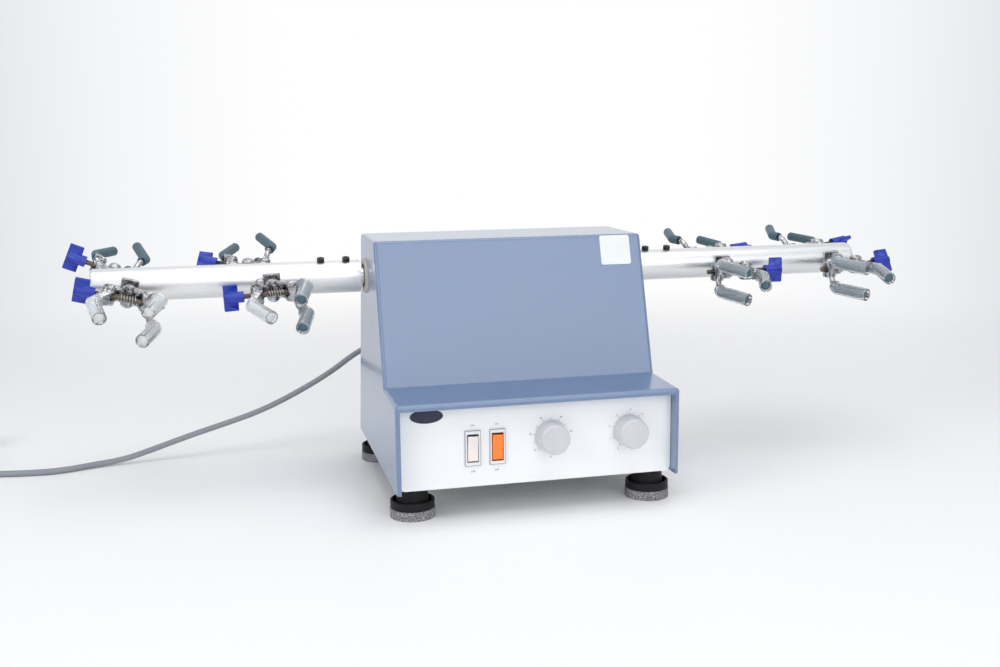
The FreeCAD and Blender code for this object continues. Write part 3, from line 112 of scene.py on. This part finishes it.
def addLead():
    middleX, middleY = lead["coilMiddle"]
    outer, step = lead["coilOuter"], lead["coilStep"]
    low, high = lead["floor"], lead["layerTop"]
    # radius and height at the start of each turn: inwards on the table, up, then outwards on top
    turns = [(outer, low), (outer - step, low), (outer - 2 * step, low), (outer - 2 * step, high),
             (outer - step, high), (outer, high)]
    points = list(lead["route"])
    count, last = lead["turnPoints"], lead["turns"]
    for index in range(1, last * count + lead["lastPoints"]):
        whole, part = divmod(index / count, 1)
        start = turns[min(int(whole), last)]
        end = turns[min(int(whole) + 1, last)]
        radius = start[0] + (end[0] - start[0]) * part
        height = start[1] + (end[1] - start[1]) * part
        angle = math.radians(-90 - 360 * index / count)
        points.append((middleX + radius * math.cos(angle), middleY + radius * math.sin(angle), height))
    points += [(middleX + x, middleY + y, z) for x, y, z in lead["tail"]]
    curve = bpy.data.curves.new("mainsLead", "CURVE")
    curve.dimensions = "3D"
    curve.bevel_depth, curve.bevel_resolution, curve.resolution_u = lead["radius"], 5, 8
    curve.use_fill_caps = True
    line = curve.splines.new("NURBS")
    line.points.add(len(points) - 1)
    for point, (x, y, z) in zip(line.points, points):
        point.co = (x, y + lead["edge"], z, 1)
    line.order_u = 3
    line.use_endpoint_u = True
    piece = bpy.data.objects.new("mainsLead", curve)
    bpy.context.scene.collection.objects.link(piece)
    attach(piece, "housing")
    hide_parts("mains_cord", "cord_coil")
    return piece


mainsLead = addLead()
print("stage: camera and mains lead")


def newMaterial(name, colour, rough, metal=0.0):
    made = bpy.data.materials.new(name)
    made.use_nodes = True
    shader = made.node_tree.nodes["Principled BSDF"]
    shader.inputs["Base Color"].default_value = (*colour, 1)
    shader.inputs["Roughness"].default_value = rough
    shader.inputs["Metallic"].default_value = metal
    return made, made.node_tree, shader


def place(tree, scale=(1, 1, 1)):
    where = tree.nodes.new("ShaderNodeTexCoord")
    mapping = tree.nodes.new("ShaderNodeMapping")
    mapping.inputs["Scale"].default_value = scale
    tree.links.new(where.outputs["Object"], mapping.inputs["Vector"])
    return mapping.outputs["Vector"]


def noise(tree, where, scale, detail=3.0, rough=0.5):
    made = tree.nodes.new("ShaderNodeTexNoise")
    made.inputs["Scale"].default_value = scale
    made.inputs["Detail"].default_value = detail
    made.inputs["Roughness"].default_value = rough
    tree.links.new(where, made.inputs["Vector"])
    return made.outputs["Fac"]


def ramp(tree, value, stops):
    made = tree.nodes.new("ShaderNodeValToRGB")
    band = made.color_ramp
    band.elements[0].position, band.elements[0].color = stops[0][0], (*stops[0][1], 1)
    band.elements[1].position, band.elements[1].color = stops[-1][0], (*stops[-1][1], 1)
    for position, colour in stops[1:-1]:
        band.elements.new(position).color = (*colour, 1)
    tree.links.new(value, made.inputs["Fac"])
    return made.outputs["Color"]


def tint(colour, by):
    return tuple(min(1.0, channel * by) for channel in colour)


def mottled(tree, shader, where, colour, spread, scale, detail=5.0):
    # a colour that drifts a little lighter and darker; the pattern itself is handed back
    cloud = noise(tree, where, scale, detail, 0.6)
    tree.links.new(ramp(tree, cloud, [(0.3, tint(colour, 1 - spread)), (0.7, tint(colour, 1 + spread))]),
                   shader.inputs["Base Color"])
    return cloud


def bumped(tree, shader, value, height):
    bump = tree.nodes.new("ShaderNodeBump")
    bump.inputs["Distance"].default_value = height
    bump.inputs["Strength"].default_value = 1.0
    tree.links.new(value, bump.inputs["Height"])
    tree.links.new(bump.outputs["Normal"], shader.inputs["Normal"])


def roughened(tree, shader, value, low, high):
    spread = tree.nodes.new("ShaderNodeMapRange")
    spread.inputs["To Min"].default_value = low
    spread.inputs["To Max"].default_value = high
    tree.links.new(value, spread.inputs["Value"])
    tree.links.new(spread.outputs["Result"], shader.inputs["Roughness"])


def stippledPaint(name, colour, rough, spread, grain, height, lacquer=0.0):
    made, tree, shader = newMaterial(name, colour, rough)
    shader.inputs["Coat Weight"].default_value = lacquer
    shader.inputs["Coat Roughness"].default_value = 0.12
    where = place(tree)
    cloud = mottled(tree, shader, where, colour, spread, 9)
    roughened(tree, shader, cloud, rough - 0.05, rough + 0.05)
    bumped(tree, shader, noise(tree, where, grain, 2.0, 0.5), height)
    return made


def mouldedPlastic(name, colour, rough, grain=1500, height=0.00004, shine=0.5):
    made, tree, shader = newMaterial(name, colour, rough)
    shader.inputs["Specular IOR Level"].default_value = shine
    where = place(tree)
    mottled(tree, shader, where, colour, 0.03, 40)
    bumped(tree, shader, noise(tree, where, grain, 2.0, 0.5), height)
    return made


def brightMetal(name, colour, rough, stretch, scale, height, spread=0.06):
    made, tree, shader = newMaterial(name, colour, rough, 1.0)
    where = place(tree, stretch)
    streak = mottled(tree, shader, where, colour, spread, scale, 4.0)
    roughened(tree, shader, streak, rough * 0.7, rough * 1.4)
    bumped(tree, shader, streak, height)
    return made


def padFelt():
    made, tree, shader = newMaterial("padFelt", (0.35, 0.35, 0.36), 0.9)
    where = place(tree)
    grains = noise(tree, where, 900, 3.0, 0.7)
    tree.links.new(ramp(tree, grains, [(0.36, (0.035, 0.035, 0.04)), (0.46, (0.16, 0.16, 0.17)),
                                       (0.56, (0.34, 0.34, 0.36)), (0.68, (0.68, 0.68, 0.7))]),
                   shader.inputs["Base Color"])
    bumped(tree, shader, grains, 0.0008)
    return made


def clearTube():
    made, tree, shader = newMaterial("clearTube", (0.93, 0.95, 0.96), 0.12)
    shader.inputs["Transmission Weight"].default_value = 0.85
    shader.inputs["IOR"].default_value = 1.18
    where = place(tree)
    bumped(tree, shader, noise(tree, where, 260, 2.0, 0.5), 0.0002)
    return made


lit = {"colour": (1.0, 0.21, 0.025), "glow": (1.0, 0.2, 0.02, 1), "strength": 0.22}


def litKey():
    made, tree, shader = newMaterial("litKey", lit["colour"], 0.25)
    shader.inputs["Emission Color"].default_value = lit["glow"]
    shader.inputs["Emission Strength"].default_value = lit["strength"]
    where = place(tree)
    mottled(tree, shader, where, lit["colour"], 0.06, 160)
    bumped(tree, shader, noise(tree, where, 420, 2.0, 0.5), 0.00008)
    return made


def math2(tree, kind, first, second=0.0):
    made = tree.nodes.new("ShaderNodeMath")
    made.operation = kind
    for socket, value in zip(made.inputs, (first, second)):
        if isinstance(value, (int, float)):
            socket.default_value = value
        else:
            tree.links.new(value, socket)
    return made.outputs["Value"]


def vectorMath(tree, kind, first, second=(0, 0, 0)):
    made = tree.nodes.new("ShaderNodeVectorMath")
    made.operation = kind
    tree.links.new(first, made.inputs[0])
    made.inputs[1].default_value = second
    return made


def outsideBox(tree, split, middle, half):
    # how far a point lies outside an upright rectangle on the panel, in metres
    reaches = [math2(tree, "SUBTRACT",
                     math2(tree, "ABSOLUTE", math2(tree, "SUBTRACT", split.outputs[axis], spot)), size)
               for axis, spot, size in zip("XZ", middle, half)]
    return math2(tree, "MAXIMUM", *reaches)


def between(tree, value, low, high):
    return math2(tree, "MULTIPLY", math2(tree, "GREATER_THAN", value, low),
                 math2(tree, "LESS_THAN", value, high))


def painted(tree, under, over, where):
    mix = tree.nodes.new("ShaderNodeMixRGB")
    tree.links.new(where, mix.inputs["Fac"])
    for socket, value in (("Color1", under), ("Color2", over)):
        if isinstance(value, tuple):
            mix.inputs[socket].default_value = (*value, 1)
        else:
            tree.links.new(value, mix.inputs[socket])
    return mix.outputs["Color"]


# both switch frames: their colours, with a grey painted shadow line and near-black painted shade behind the
# panel face, half widths and heights, the bands of the two painted shadow outlines round them, and where
# each stands across the panel with the colour of the painted shadow round its key
units = {"pale": (0.84, 0.85, 0.86), "inside": (0.04, 0.04, 0.045), "line": (0.36, 0.37, 0.39),
         "height": 0.0735, "bezel": (0.0082, 0.0185), "key": (0.0052, 0.0138),
         "bezelShadowBand": (-0.0006, 0.001), "keyShadowBand": (-0.001, 0.0011), "skin": 0.0004,
         "switches": ((-0.0696, (0.42, 0.43, 0.45)), (-0.0437, (0.3, 0.035, 0.02)))}


def unitsPlasticAndShade():
    made, tree, shader = newMaterial("unitsPlasticAndShade", units["pale"], 0.4)
    where = tree.nodes.new("ShaderNodeTexCoord")
    split = tree.nodes.new("ShaderNodeSeparateXYZ")
    tree.links.new(where.outputs["Object"], split.inputs["Vector"])
    colour = units["pale"]
    for side, rimShadow in units["switches"]:
        middle = (side, units["height"])
        bezel = outsideBox(tree, split, middle, units["bezel"])
        key = outsideBox(tree, split, middle, units["key"])
        # painted shadow: a grey line round each bezel and a grey or dark red line round each key, in place
        # of the shaded gaps
        colour = painted(tree, colour, units["line"], between(tree, bezel, *units["bezelShadowBand"]))
        colour = painted(tree, colour, rimShadow, between(tree, key, *units["keyShadowBand"]))
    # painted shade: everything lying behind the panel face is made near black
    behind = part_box("control_panel")[0][1] + units["skin"]
    colour = painted(tree, colour, units["inside"], math2(tree, "GREATER_THAN", split.outputs["Y"], behind))
    tree.links.new(colour, shader.inputs["Base Color"])
    bumped(tree, shader, noise(tree, where.outputs["Object"], 1400, 2.0, 0.5), 0.00004)
    return made


finishes = {
    "coverPaint": stippledPaint("coverPaint", (0.154, 0.23, 0.385), 0.3, 0.03, 1300, 0.0001, 0.7),
    "panelPaint": stippledPaint("panelPaint", (0.93, 0.945, 0.955), 0.32, 0.012, 2200, 0.00004),
    "frameCasting": brightMetal("frameCasting", (0.62, 0.63, 0.65), 0.42, (1, 1, 1), 260, 0.0003),
    "sheetSteel": brightMetal("sheetSteel", (0.6, 0.61, 0.63), 0.34, (1, 30, 30), 60, 0.00006),
    "groundSteel": brightMetal("groundSteel", (0.68, 0.69, 0.71), 0.2, (60, 1, 1), 30, 0.00004),
    "armTube": brightMetal("armTube", (0.79, 0.795, 0.8), 0.37, (3, 90, 90), 12, 0.00003),
    "brightNickel": brightMetal("brightNickel", (0.42, 0.42, 0.43), 0.14, (1, 1, 1), 190, 0.0012, 0.6),
    "bronzeRod": brightMetal("bronzeRod", (0.22, 0.18, 0.145), 0.34, (260, 1, 1), 6, 0.0006),
    "coilNickel": brightMetal("coilNickel", (0.46, 0.45, 0.44), 0.26, (1, 1, 1), 300, 0.0002),
    "springWire": brightMetal("springWire", (0.13, 0.095, 0.07), 0.38, (1, 1, 1), 300, 0.0002),
    "blackSteel": stippledPaint("blackSteel", (0.012, 0.012, 0.014), 0.34, 0.1, 900, 0.00006),
    "cupPlastic": mouldedPlastic("cupPlastic", (0.012, 0.011, 0.013), 0.5, shine=0.18),
    "creamNylon": mouldedPlastic("creamNylon", (0.69, 0.66, 0.56), 0.42),
    "plugNylon": mouldedPlastic("plugNylon", (0.62, 0.63, 0.64), 0.4),
    "keyCream": mouldedPlastic("keyCream", (0.9, 0.83, 0.79), 0.26),
    "knobGrey": mouldedPlastic("knobGrey", (0.63, 0.64, 0.67), 0.5),
    "wingBlue": mouldedPlastic("wingBlue", (0.014, 0.042, 0.42), 0.34, 700, 0.00008),
    "sleeveRubber": mouldedPlastic("sleeveRubber", (0.062, 0.125, 0.165), 0.5, 500, 0.0002),
    "milkyRubber": mouldedPlastic("milkyRubber", (0.74, 0.76, 0.77), 0.45, 500, 0.0002),
    "leadGrey": mouldedPlastic("leadGrey", (0.27, 0.29, 0.315), 0.5),
    "beltRubber": mouldedPlastic("beltRubber", (0.02, 0.02, 0.02), 0.7),
    "motorPaint": stippledPaint("motorPaint", (0.03, 0.032, 0.036), 0.4, 0.05, 700, 0.0002),
    "boardGreen": mouldedPlastic("boardGreen", (0.02, 0.12, 0.05), 0.4),
    "padFelt": padFelt(), "clearTube": clearTube(), "litKey": litKey(), "unitsPlasticAndShade": unitsPlasticAndShade(),
}

nodeFinish = {
    "cover": "coverPaint", "control_panel": "panelPaint", "base_plate": "sheetSteel",
    "foot_pads": "padFelt", "foot_cups": "cupPlastic", "rubber_feet": "cupPlastic",
    "housing_screws": "groundSteel",
    "side_frames": "frameCasting", "side_rings": "creamNylon", "drive_frames": "frameCasting",
    "ball_bearings": "groundSteel", "crank_shaft": "groundSteel", "cam_bearing": "groundSteel",
    "crank_pulley": "frameCasting", "motor_shaft": "groundSteel", "drive_belt": "beltRubber",
    "motor_body": "motorPaint", "motor_saddle": "frameCasting", "control_board": "boardGreen",
    "mains_rocker": "keyCream", "run_rocker": "litKey", "panel_units": "unitsPlasticAndShade",
    "timer_knob": "knobGrey", "speed_knob": "knobGrey", "rocker_shaft": "groundSteel",
    "rocker_lever": "frameCasting", "arm_tubes": "armTube", "arm_hubs": "frameCasting",
    "tube_plugs": "plugNylon", "arm_screws": "blackSteel", "clamp_bosses": "brightNickel",
    "cord_gland": "leadGrey", "mains_plug": "leadGrey",
}


def dress(piece, finish):
    piece.data.materials.clear()
    piece.data.materials.append(finishes[finish])


for nodeName in frame["nodes"]:
    # a boss that is a node of its own is finished like the others
    finish = nodeFinish.get(nodeName, nodeFinish.get(nodeName.split("_front")[0] + "es"))
    if finish:
        dress(bpy.data.objects[nodeName], finish)
dress(mainsLead, "leadGrey")
print("stage: finishes on", len(nodeFinish), "nodes")


def selectOnly(*pieces):
    bpy.ops.object.select_all(action="DESELECT")
    for piece in pieces:
        piece.select_set(True)
    bpy.context.view_layer.objects.active = pieces[0]


def loosePieces(nodeName):
    # a copy of a node, welded and split into its separate solids
    source = bpy.data.objects[nodeName]
    copy = bpy.data.objects.new(nodeName + "_copy", source.data.copy())
    bpy.context.scene.collection.objects.link(copy)
    selectOnly(copy)
    bpy.ops.object.mode_set(mode="EDIT")
    bpy.ops.mesh.select_all(action="SELECT")
    bpy.ops.mesh.remove_doubles(threshold=0.000002)
    bpy.ops.mesh.separate(type="LOOSE")
    bpy.ops.object.mode_set(mode="OBJECT")
    return list(bpy.context.selected_objects)


def boxVolume(piece):
    corners = [vertex.co for vertex in piece.data.vertices]
    size = [max(c[axis] for c in corners) - min(c[axis] for c in corners) for axis in range(3)]
    return size[0] * size[1] * size[2]


def joined(pieces, name, body, finish, smooth=40):
    selectOnly(*pieces)
    if len(pieces) > 1:
        bpy.ops.object.join()
    piece = bpy.context.view_layer.objects.active
    piece.name = piece.data.name = name
    bpy.ops.object.shade_smooth_by_angle(angle=math.radians(smooth))
    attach(piece, body)
    dress(piece, finish)
    return piece


def spreadOf(piece):
    corners = [vertex.co for vertex in piece.data.vertices]
    middle = sum(corners, Vector()) / len(corners)
    return max((corner - middle).length for corner in corners)


# sleeves in front that are clear over milky rubber rather than over the blue-grey one
milkySleeves = {"single_front_left_outer", "double_front_left_outer", "single_front_left_inner"}


def addJaw(jaw, name):
    nodeName, body = jaw + "_jaw_" + name, jaw + "_" + name
    parts = sorted(loosePieces(nodeName), key=spreadOf, reverse=True)
    metal, sleeves = parts[0], sorted(parts[1:], key=boxVolume, reverse=True)
    fingers = 1 if jaw == "single" else 2
    clears = sleeves[:fingers] if len(sleeves) > fingers else []
    rubbers = sleeves[len(clears):]
    made = [joined([metal], nodeName + "_steel", body, "brightNickel", 30),
            joined(rubbers, nodeName + "_rubber", body,
                   "milkyRubber" if body in milkySleeves else "sleeveRubber")]
    if clears:
        made.append(joined(clears, nodeName + "_clear", body, "clearTube"))
    for piece in made:
        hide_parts(nodeName)


# the thread and the spring on each clamp screw; "core" thins the plain rod to the thread's root
wire = {"threadRoot": 0.00255, "threadCrest": 0.003, "threadPitch": 0.00125, "threadTurns": 56,
        "threadStart": 0.0008, "springMiddle": 0.00375, "springWire": 0.00055,
        "springPitch": 0.00283, "springTurns": 6, "core": 0.87}


def wound(name, spot, radius, corners, pitch, turns, steps):
    # a small round or three-sided wire wound into a helix about Z, its middle at the origin
    bpy.ops.object.select_all(action="DESELECT")
    bpy.ops.mesh.primitive_circle_add(vertices=corners, radius=radius, location=(spot, 0, 0),
                                      rotation=(math.pi / 2, 0, 0))
    piece = bpy.context.active_object
    bpy.ops.object.transform_apply(location=True, rotation=True, scale=True)
    winding = piece.modifiers.new("winding", "SCREW")
    winding.axis, winding.screw_offset, winding.iterations = "Z", pitch, turns
    winding.steps = winding.render_steps = steps
    bpy.ops.object.modifier_apply(modifier="winding")
    bpy.ops.object.mode_set(mode="EDIT")
    bpy.ops.mesh.select_all(action="SELECT")
    bpy.ops.mesh.normals_make_consistent(inside=False)
    bpy.ops.object.mode_set(mode="OBJECT")
    piece.data.transform(Matrix.Translation((0, 0, -pitch * turns / 2)))
    piece.name = name
    return piece


threadDepth = wire["threadCrest"] - wire["threadRoot"]
thread = wound("thread", wire["threadRoot"] + threadDepth * 0.5, threadDepth * 0.67, 3,
               wire["threadPitch"], wire["threadTurns"], 14)
spring = wound("spring", wire["springMiddle"], wire["springWire"], 8, wire["springPitch"],
               wire["springTurns"], 20)
jointOf = {joint["name"]: joint for joint in frame["joints"]}


def copied(source, move):
    made = bpy.data.objects.new(source.name + "_copy", source.data.copy())
    bpy.context.scene.collection.objects.link(made)
    made.data.transform(move)
    return made


def addScrew(name):
    # the rod with its thread, the wing knob, and a wound spring in place of the plain tube
    nodeName, body = "clamp_screw_" + name, "screw_" + name
    rodPart, knobPart, springPart = sorted(loosePieces(nodeName), key=spreadOf, reverse=True)
    joint = jointOf["screw_turn_" + name]
    middle, axis = Vector(joint["pos_m"]), Vector(joint["axis"])
    turn = axis.to_track_quat("Z", "Y").to_matrix().to_4x4()
    tail = min((corner.co - middle).dot(axis) for corner in rodPart.data.vertices)
    half = wire["threadPitch"] * wire["threadTurns"] / 2
    rodPart.data.transform(Matrix.Translation(middle) @ turn
                           @ Matrix.Diagonal((wire["core"], wire["core"], 1, 1))
                           @ turn.transposed() @ Matrix.Translation(-middle))
    threadMiddle = middle + axis * (tail + wire["threadStart"] + half)
    threadPart = copied(thread, Matrix.Translation(threadMiddle) @ turn)
    bpy.data.objects.remove(springPart)
    made = [joined([rodPart, threadPart], nodeName + "_rod", body, "bronzeRod"),
            joined([knobPart], nodeName + "_wing", body, "wingBlue", 30),
            joined([copied(spring, Matrix.Translation(middle) @ turn)], nodeName + "_spring", body,
                   "coilNickel", 60)]
    for piece in made:
        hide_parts(nodeName)


for name in clampNames:
    addJaw("single", name)
    addJaw("double", name)
    addScrew(name)
for finished in (thread, spring):
    bpy.data.objects.remove(finished)

ring = {"clamp": "front_left_inner", "radius": 0.0046, "wire": 0.00045, "along": 0.0145, "lift": 0.0135,
        "lean": 8, "sweep": 352}


def addRing():
    # the loose wire ring that stands on the barrel beside the wing knob
    joint = jointOf["screw_turn_" + ring["clamp"]]
    axis = Vector(joint["axis"])
    up = -Vector(jointOf["single_close_" + ring["clamp"]]["axis"])
    spot = Vector(joint["pos_m"]) + axis * ring["along"] + up * ring["lift"]
    bpy.ops.object.select_all(action="DESELECT")
    bpy.ops.mesh.primitive_circle_add(vertices=8, radius=ring["wire"], location=(ring["radius"], 0, 0),
                                      rotation=(math.pi / 2, 0, 0))
    piece = bpy.context.active_object
    bpy.ops.object.transform_apply(location=True, rotation=True, scale=True)
    bpy.ops.object.mode_set(mode="EDIT")
    bpy.ops.mesh.select_all(action="SELECT")
    bpy.ops.mesh.spin(steps=40, angle=math.radians(ring["sweep"]), center=(0, 0, 0), axis=(0, 0, 1))
    bpy.ops.mesh.select_all(action="SELECT")
    bpy.ops.mesh.normals_make_consistent(inside=False)
    bpy.ops.object.mode_set(mode="OBJECT")
    piece.data.transform(Matrix.Translation(spot) @ Matrix.Rotation(math.radians(90 + ring["lean"]), 4, "X"))
    joined([piece], "lockRing", "single_" + ring["clamp"], "springWire", 60)


addRing()
print("stage: clamps")

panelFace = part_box("control_panel")[0][1]
marks = {
    "lift": 0.00008, "tall": 0.0027, "tickLong": 0.0016, "tickWide": 0.00035,
    "tickRing": 0.0186, "numberRing": 0.0222,
    "timer": {"middle": (0.0133, 0.0803), "ticks": range(-135, 149, 27),
              "numbers": {180: "0", -129: "10", -81: "20", -29: "30", 29: "40", 81: "50", 140: "60"}},
    "speed": {"middle": (0.0985, 0.0803), "ticks": range(-148, 60, 37),
              "numbers": {-148: "0", -111: "1", -74: "2", -38: "3", 4: "4", 42: "5"}},
    "on": [(-0.0694, 0.0971), (-0.0443, 0.0971)],
    "off": [(-0.0694, 0.0487), (-0.0443, 0.0487)],
}


def flatInk(name):
    made, tree, shader = newMaterial(name, (0.06, 0.06, 0.07), 0.5)
    where = place(tree)
    worn = noise(tree, where, 2400, 2.0, 0.6)
    tree.links.new(ramp(tree, worn, [(0.3, (0.05, 0.05, 0.06)), (0.75, (0.16, 0.16, 0.18))]),
                   shader.inputs["Base Color"])
    return made


def written(text, x, z, tall):
    bpy.ops.object.select_all(action="DESELECT")
    bpy.ops.object.text_add(location=(x, panelFace - marks["lift"], z), rotation=(math.pi / 2, 0, 0))
    word = bpy.context.active_object
    word.data.body = text
    word.data.size = tall
    word.data.align_x, word.data.align_y = "CENTER", "CENTER"
    bpy.ops.object.convert(target="MESH")
    bpy.ops.object.transform_apply(location=True, rotation=True, scale=True)
    return bpy.context.active_object


def tick(x, z, angle):
    bpy.ops.object.select_all(action="DESELECT")
    bpy.ops.mesh.primitive_plane_add(size=1, location=(0, 0, 0))
    line = bpy.context.active_object
    long, wide = marks["tickLong"], marks["tickWide"]
    line.data.transform(Matrix.Diagonal((wide, long, 1, 1)))
    turn = Matrix.Rotation(math.pi / 2, 4, "X") @ Matrix.Rotation(-math.radians(angle), 4, "Z")
    line.data.transform(Matrix.Translation((x, panelFace - marks["lift"], z)) @ turn)
    return line


def around(middle, angle, ring):
    turn = math.radians(angle)
    return middle[0] + ring * math.sin(turn), middle[1] + ring * math.cos(turn)


def addMarks():
    ink = []
    for dial in ("timer", "speed"):
        middle = marks[dial]["middle"]
        for angle in marks[dial]["ticks"]:
            ink.append(tick(*around(middle, angle, marks["tickRing"]), angle))
        for angle, text in marks[dial]["numbers"].items():
            ink.append(written(text, *around(middle, angle, marks["numberRing"]), marks["tall"]))
    for word in ("on", "off"):
        for x, z in marks[word]:
            ink.append(written(word.upper(), x, z, marks["tall"]))
    finishes["panelInk"] = flatInk("panelInk")
    joined(ink, "panelMarks", "housing", "panelInk")


badge = {"middle": (-0.1166, 0.1097), "half": (0.0170, 0.0073), "proud": 0.0004, "edge": 0.00015}


def addBadge():
    # an oval plate left bare, low domed, on the panel's upper left
    bpy.ops.object.select_all(action="DESELECT")
    bpy.ops.mesh.primitive_cylinder_add(vertices=64, radius=1, depth=1, location=(0, 0, 0))
    piece = bpy.context.active_object
    piece.data.transform(Matrix.Diagonal((*badge["half"], badge["proud"], 1)))
    x, z = badge["middle"]
    piece.data.transform(Matrix.Translation((x, panelFace - badge["proud"] / 2, z))
                         @ Matrix.Rotation(math.pi / 2, 4, "X"))
    bevel = piece.modifiers.new("edge", "BEVEL")
    bevel.width, bevel.segments, bevel.limit_method = badge["edge"], 3, "ANGLE"
    bpy.ops.object.modifier_apply(modifier="edge")
    finishes["badgeNavy"] = mouldedPlastic("badgeNavy", (0.012, 0.014, 0.05), 0.22)
    joined([piece], "bareBadge", "housing", "badgeNavy")


# "slopeFoot" and "slopeHead" are y and z where the sloping face begins and ends
label = {"across": (0.1015, 0.136), "foot": 0.2435, "head": 0.2748, "corner": 0.0025,
         "thick": 0.00035, "proudShare": 0.4,
         "slopeFoot": (-0.077, 0.127), "slopeHead": (-0.0295, 0.276)}


def addLabel():
    # a blank white label near the top right of the sloping face
    footY, footZ = label["slopeFoot"]
    headY, headZ = label["slopeHead"]
    lean = (headY - footY) / (headZ - footZ)
    bpy.ops.object.select_all(action="DESELECT")
    bpy.ops.mesh.primitive_cube_add(size=1, location=(0, 0, 0))
    piece = bpy.context.active_object
    wide = label["across"][1] - label["across"][0]
    long = (label["head"] - label["foot"]) * math.hypot(1, lean)
    piece.data.transform(Matrix.Diagonal((wide, long, label["thick"], 1)))
    bpy.ops.object.mode_set(mode="EDIT")
    bpy.ops.mesh.select_mode(type="EDGE")
    bpy.ops.mesh.select_all(action="DESELECT")
    shape = bmesh.from_edit_mesh(piece.data)
    for edge in shape.edges:
        low, high = (vertex.co for vertex in edge.verts)
        edge.select_set(abs(low.z - high.z) > label["thick"] / 2)
    bmesh.update_edit_mesh(piece.data)
    bpy.ops.mesh.bevel(offset=label["corner"], segments=6)
    bpy.ops.object.mode_set(mode="OBJECT")
    middleZ = (label["foot"] + label["head"]) / 2
    middleY = footY + (middleZ - footZ) * lean
    tilt = Matrix.Rotation(math.atan2(1, lean), 4, "X")
    away = Vector((0, -1, lean)).normalized() * label["thick"] * label["proudShare"]
    spot = Vector(((label["across"][0] + label["across"][1]) / 2, middleY, middleZ)) + away
    piece.data.transform(Matrix.Translation(spot) @ tilt)
    finishes["labelWhite"] = mouldedPlastic("labelWhite", (0.84, 0.87, 0.85), 0.3)
    joined([piece], "blankLabel", "housing", "labelWhite")


addMarks()
addBadge()
addLabel()
print("stage: panel marks, badge and label")

table = {"size": 14.0, "sunk": 0.0002, "colour": (0.98, 0.98, 0.985), "fadeFrom": 0.5, "fadeTo": 1.7}


def addTable():
    # white near the machine, and further off it thins out into the backdrop
    bpy.ops.object.select_all(action="DESELECT")
    bpy.ops.mesh.primitive_plane_add(size=table["size"], location=(0, 0, -table["sunk"]))
    piece = bpy.context.active_object
    piece.name = "tableTop"
    made, tree, shader = newMaterial("tableTop", table["colour"], 0.55)
    where = tree.nodes.new("ShaderNodeTexCoord")
    far = vectorMath(tree, "LENGTH", where.outputs["Object"])
    fade = tree.nodes.new("ShaderNodeMapRange")
    fade.interpolation_type = "SMOOTHSTEP"
    fade.inputs["From Min"].default_value = table["fadeFrom"]
    fade.inputs["From Max"].default_value = table["fadeTo"]
    tree.links.new(far.outputs["Value"], fade.inputs["Value"])
    through = tree.nodes.new("ShaderNodeBsdfTransparent")
    mix = tree.nodes.new("ShaderNodeMixShader")
    tree.links.new(fade.outputs["Result"], mix.inputs["Fac"])
    tree.links.new(shader.outputs["BSDF"], mix.inputs[1])
    tree.links.new(through.outputs["BSDF"], mix.inputs[2])
    tree.links.new(mix.outputs["Shader"], tree.nodes["Material Output"].inputs["Surface"])
    piece.data.materials.append(made)
    piece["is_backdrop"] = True


# each lamp's place, the point that it faces, its width in metres and its power in watts
lamps = {
    "overhead": ((0.1, -0.5, 2.4), (0, 0, 0.1), 2.2, 23),
    "leftWindow": ((-2.3, -1.1, 1.3), (0, 0, 0.15), 1.6, 18),
    "frontFill": ((0.5, -2.5, 1.2), (0, 0, 0.15), 1.8, 17),
}


def addLamp(name, spot, aim, size, power):
    data = bpy.data.lights.new(name, "AREA")
    data.shape, data.size, data.energy = "DISK", size, power
    lamp = bpy.data.objects.new(name, data)
    bpy.context.scene.collection.objects.link(lamp)
    way = Vector(aim) - Vector(spot)
    lamp.matrix_world = Matrix.Translation(spot) @ way.to_track_quat("-Z", "Y").to_matrix().to_4x4()


backdrop = {"light": (0.45, 0.46, 0.48, 1),
            "stops": [(0.0, (0.74, 0.75, 0.78)), (0.915, (0.77, 0.785, 0.815)),
                      (0.95, (0.9, 0.91, 0.93)), (0.985, (1.0, 1.0, 1.0))]}


def addSky():
    world = bpy.data.worlds.new("studio")
    bpy.context.scene.world = world
    world.use_nodes = True
    tree = world.node_tree
    back = tree.nodes["Background"]
    path = tree.nodes.new("ShaderNodeLightPath")
    shown = tree.nodes.new("ShaderNodeMixRGB")
    seen = path.outputs["Is Camera Ray"]
    for ray in ("Is Glossy Ray", "Is Transmission Ray"):
        seen = math2(tree, "MAXIMUM", seen, path.outputs[ray])
    tree.links.new(seen, shown.inputs["Fac"])
    shown.inputs["Color1"].default_value = backdrop["light"]
    # the backdrop: white in the middle of the view, a little greyer to the sides
    where = tree.nodes.new("ShaderNodeTexCoord")
    aim = math.radians(-eye["turn"])
    level = vectorMath(tree, "MULTIPLY", where.outputs["Generated"], (1, 1, 0))
    straight = vectorMath(tree, "NORMALIZE", level.outputs["Vector"])
    facing = vectorMath(tree, "DOT_PRODUCT", straight.outputs["Vector"], (math.sin(aim), math.cos(aim), 0))
    tree.links.new(ramp(tree, facing.outputs["Value"], backdrop["stops"]), shown.inputs["Color2"])
    tree.links.new(shown.outputs["Color"], back.inputs["Color"])


addTable()
addSky()
for name, lamp in lamps.items():
    addLamp(name, *lamp)
bpy.context.scene.view_settings.view_transform = "Standard"
print("stage: table, lamps and sky")


def shownBox():
    # lowest and highest corner of all that is shown, from the finished meshes
    graph = bpy.context.evaluated_depsgraph_get()
    spots = []
    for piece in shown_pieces():
        shown = piece.evaluated_get(graph)
        spots += [shown.matrix_world @ vertex.co for vertex in shown.to_mesh().vertices]
        shown.to_mesh_clear()
    return [[pick(spot[axis] for spot in spots) for axis in range(3)] for pick in (min, max)]


{"cad": [list(corner) for corner in cadBox], "visual": shownBox()}
